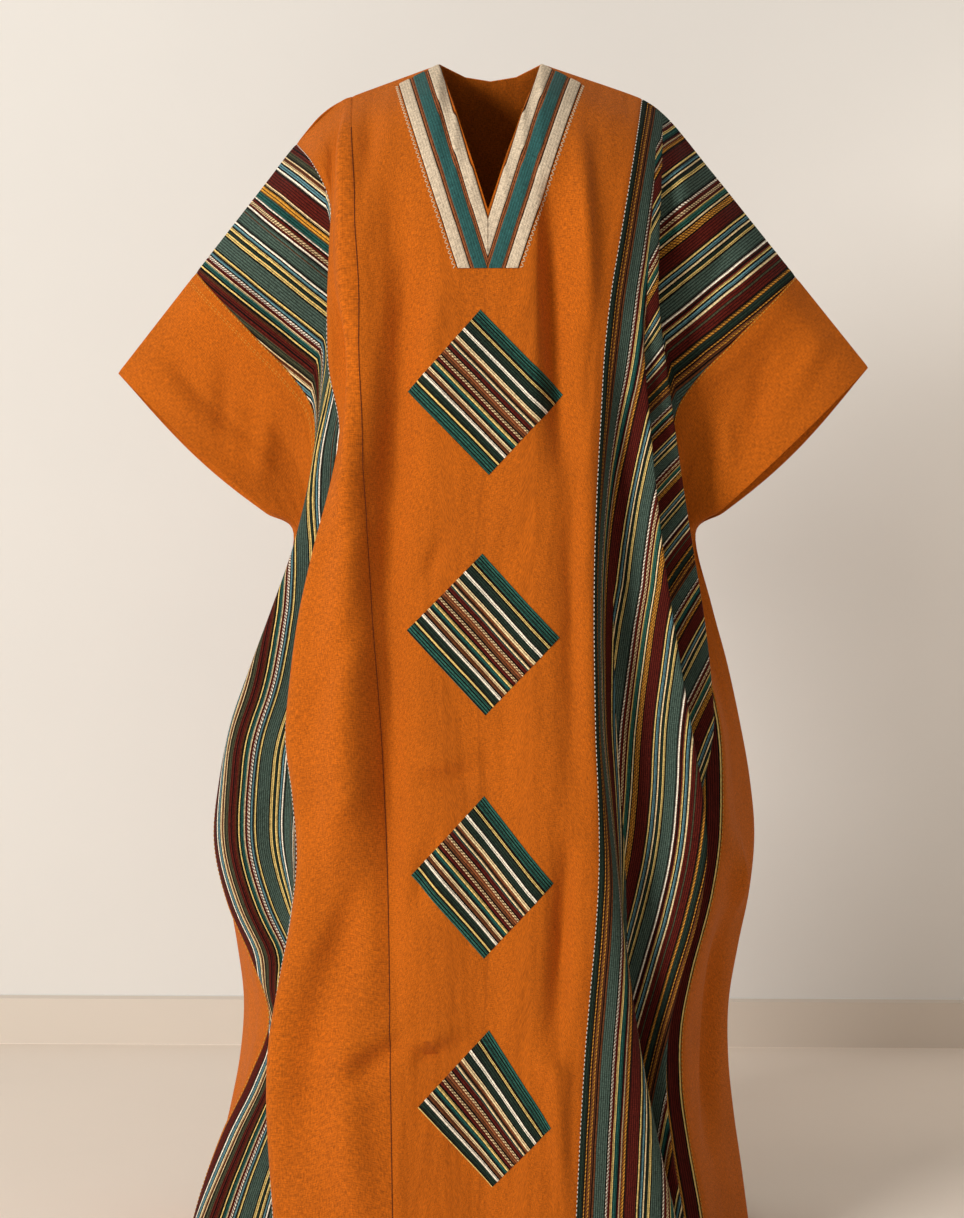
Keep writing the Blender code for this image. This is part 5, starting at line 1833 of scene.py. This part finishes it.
class ROBE_OT_band_stitches(bpy.types.Operator):
    """Sew the sawtooth stitch along the neckband's outer edge"""

    bl_idname = "robe.band_stitches"
    bl_label = "Band stitches"

    def execute(self, context):
        cloth = context.scene.robe_cloth
        front, _ = robe_sheets(cloth.creases)
        surface = Surface(front)
        shape = stitch_shape("band_stitch")
        for word, side in (("left", -1), ("right", 1)):
            line = band_lines(side, SAWTOOTH_PLACE, SAWTOOTH_PLACE, np.array([0.0]))[0]
            places = [surface.at(x, z) for x, z in line]
            points = np.array([place for place, _ in places])
            normals = np.array([normal for _, normal in places])
            path = (points + normals * (cloth.thickness / 2 + THREAD_LIFT), normals)
            piece = stitch_row(
                f"sawtooth_stitches_{word}", [path], shape, SAWTOOTH_PITCH,
                SAWTOOTH_SIZE, SAWTOOTH_SLANT, SAWTOOTH_SLANT,
            )
            finished_row(piece, "cream_thread")
        return {"FINISHED"}


class ROBE_PT_robe(bpy.types.Panel):
    """Lists the pieces of the robe"""

    bl_label = "Robe"
    bl_idname = "ROBE_PT_robe"
    bl_space_type = "VIEW_3D"
    bl_region_type = "UI"
    bl_category = "Robe"

    def draw(self, context):
        scene = context.scene
        for group in (scene.robe_cloth, scene.robe_stitches, scene.robe_stage):
            box = self.layout.box()
            for name in group.bl_rna.properties.keys():
                if name not in ("rna_type", "name"):
                    box.prop(group, name)
        for operator in OPERATORS:
            self.layout.operator(operator.bl_idname)


def room_material(floor):
    """Matt paint: a pale wall, a slightly darker floor and skirting; open from behind."""
    material, nodes, shader = blank_material("room_paint")
    output = material.node_tree.nodes["Material Output"]
    place = nodes.add("ShaderNodeTexCoord").outputs["Object"]
    height = nodes.axes(place)[2]
    on_skirting = nodes.math("LESS_THAN", height, floor + SKIRTING[1] + 0.003)
    on_floor = nodes.math("LESS_THAN", height, floor + 0.001)
    tone = nodes.mix(on_skirting, linear(WALL_PAINT), linear(SKIRTING_PAINT))
    tone = nodes.mix(on_floor, tone, linear(FLOOR_PAINT))
    cloudy = nodes.remap(nodes.noise(place, 2.2, 3.0), 0.3, 0.7, 0.985, 1.01)
    nodes.link(nodes.dimmed(tone, cloudy), shader.inputs["Base Color"])
    nodes.link(nodes.remap(nodes.noise(place, 40.0), 0.3, 0.7, 0.86, 0.94), shader.inputs["Roughness"])
    shader.inputs["Specular IOR Level"].default_value = 0.2
    open_behind = nodes.add("ShaderNodeBsdfTransparent")
    behind = nodes.add("ShaderNodeNewGeometry").outputs["Backfacing"]
    either = nodes.add("ShaderNodeMixShader")
    nodes.link(behind, either.inputs[0])
    nodes.link(shader.outputs[0], either.inputs[1])
    nodes.link(open_behind.outputs[0], either.inputs[2])
    nodes.link(either.outputs[0], output.inputs["Surface"])
    return material


OPERATORS = (
    ROBE_OT_stage,
    ROBE_OT_front_panels,
    ROBE_OT_back_panels,
    ROBE_OT_neckband,
    ROBE_OT_patches,
    ROBE_OT_seam_stitches,
    ROBE_OT_cuff_stitches,
    ROBE_OT_band_stitches,
)
CLASSES = (RobeCloth, RobeStitches, RobeStage, *OPERATORS, ROBE_PT_robe)


def register():
    for entry in CLASSES:
        bpy.utils.register_class(entry)
    bpy.types.Scene.robe_cloth = bpy.props.PointerProperty(type=RobeCloth)
    bpy.types.Scene.robe_stitches = bpy.props.PointerProperty(type=RobeStitches)
    bpy.types.Scene.robe_stage = bpy.props.PointerProperty(type=RobeStage)


def unregister():
    del bpy.types.Scene.robe_stage
    del bpy.types.Scene.robe_stitches
    del bpy.types.Scene.robe_cloth
    for entry in reversed(CLASSES):
        bpy.utils.unregister_class(entry)


def main():
    register()
    bpy.ops.robe.stage()
    bpy.ops.robe.front_panels()
    bpy.ops.robe.back_panels()
    bpy.ops.robe.neckband()
    bpy.ops.robe.patches()
    bpy.ops.robe.seam_stitches()
    bpy.ops.robe.cuff_stitches()
    bpy.ops.robe.band_stitches()


if __name__ == "__main__":
    main()
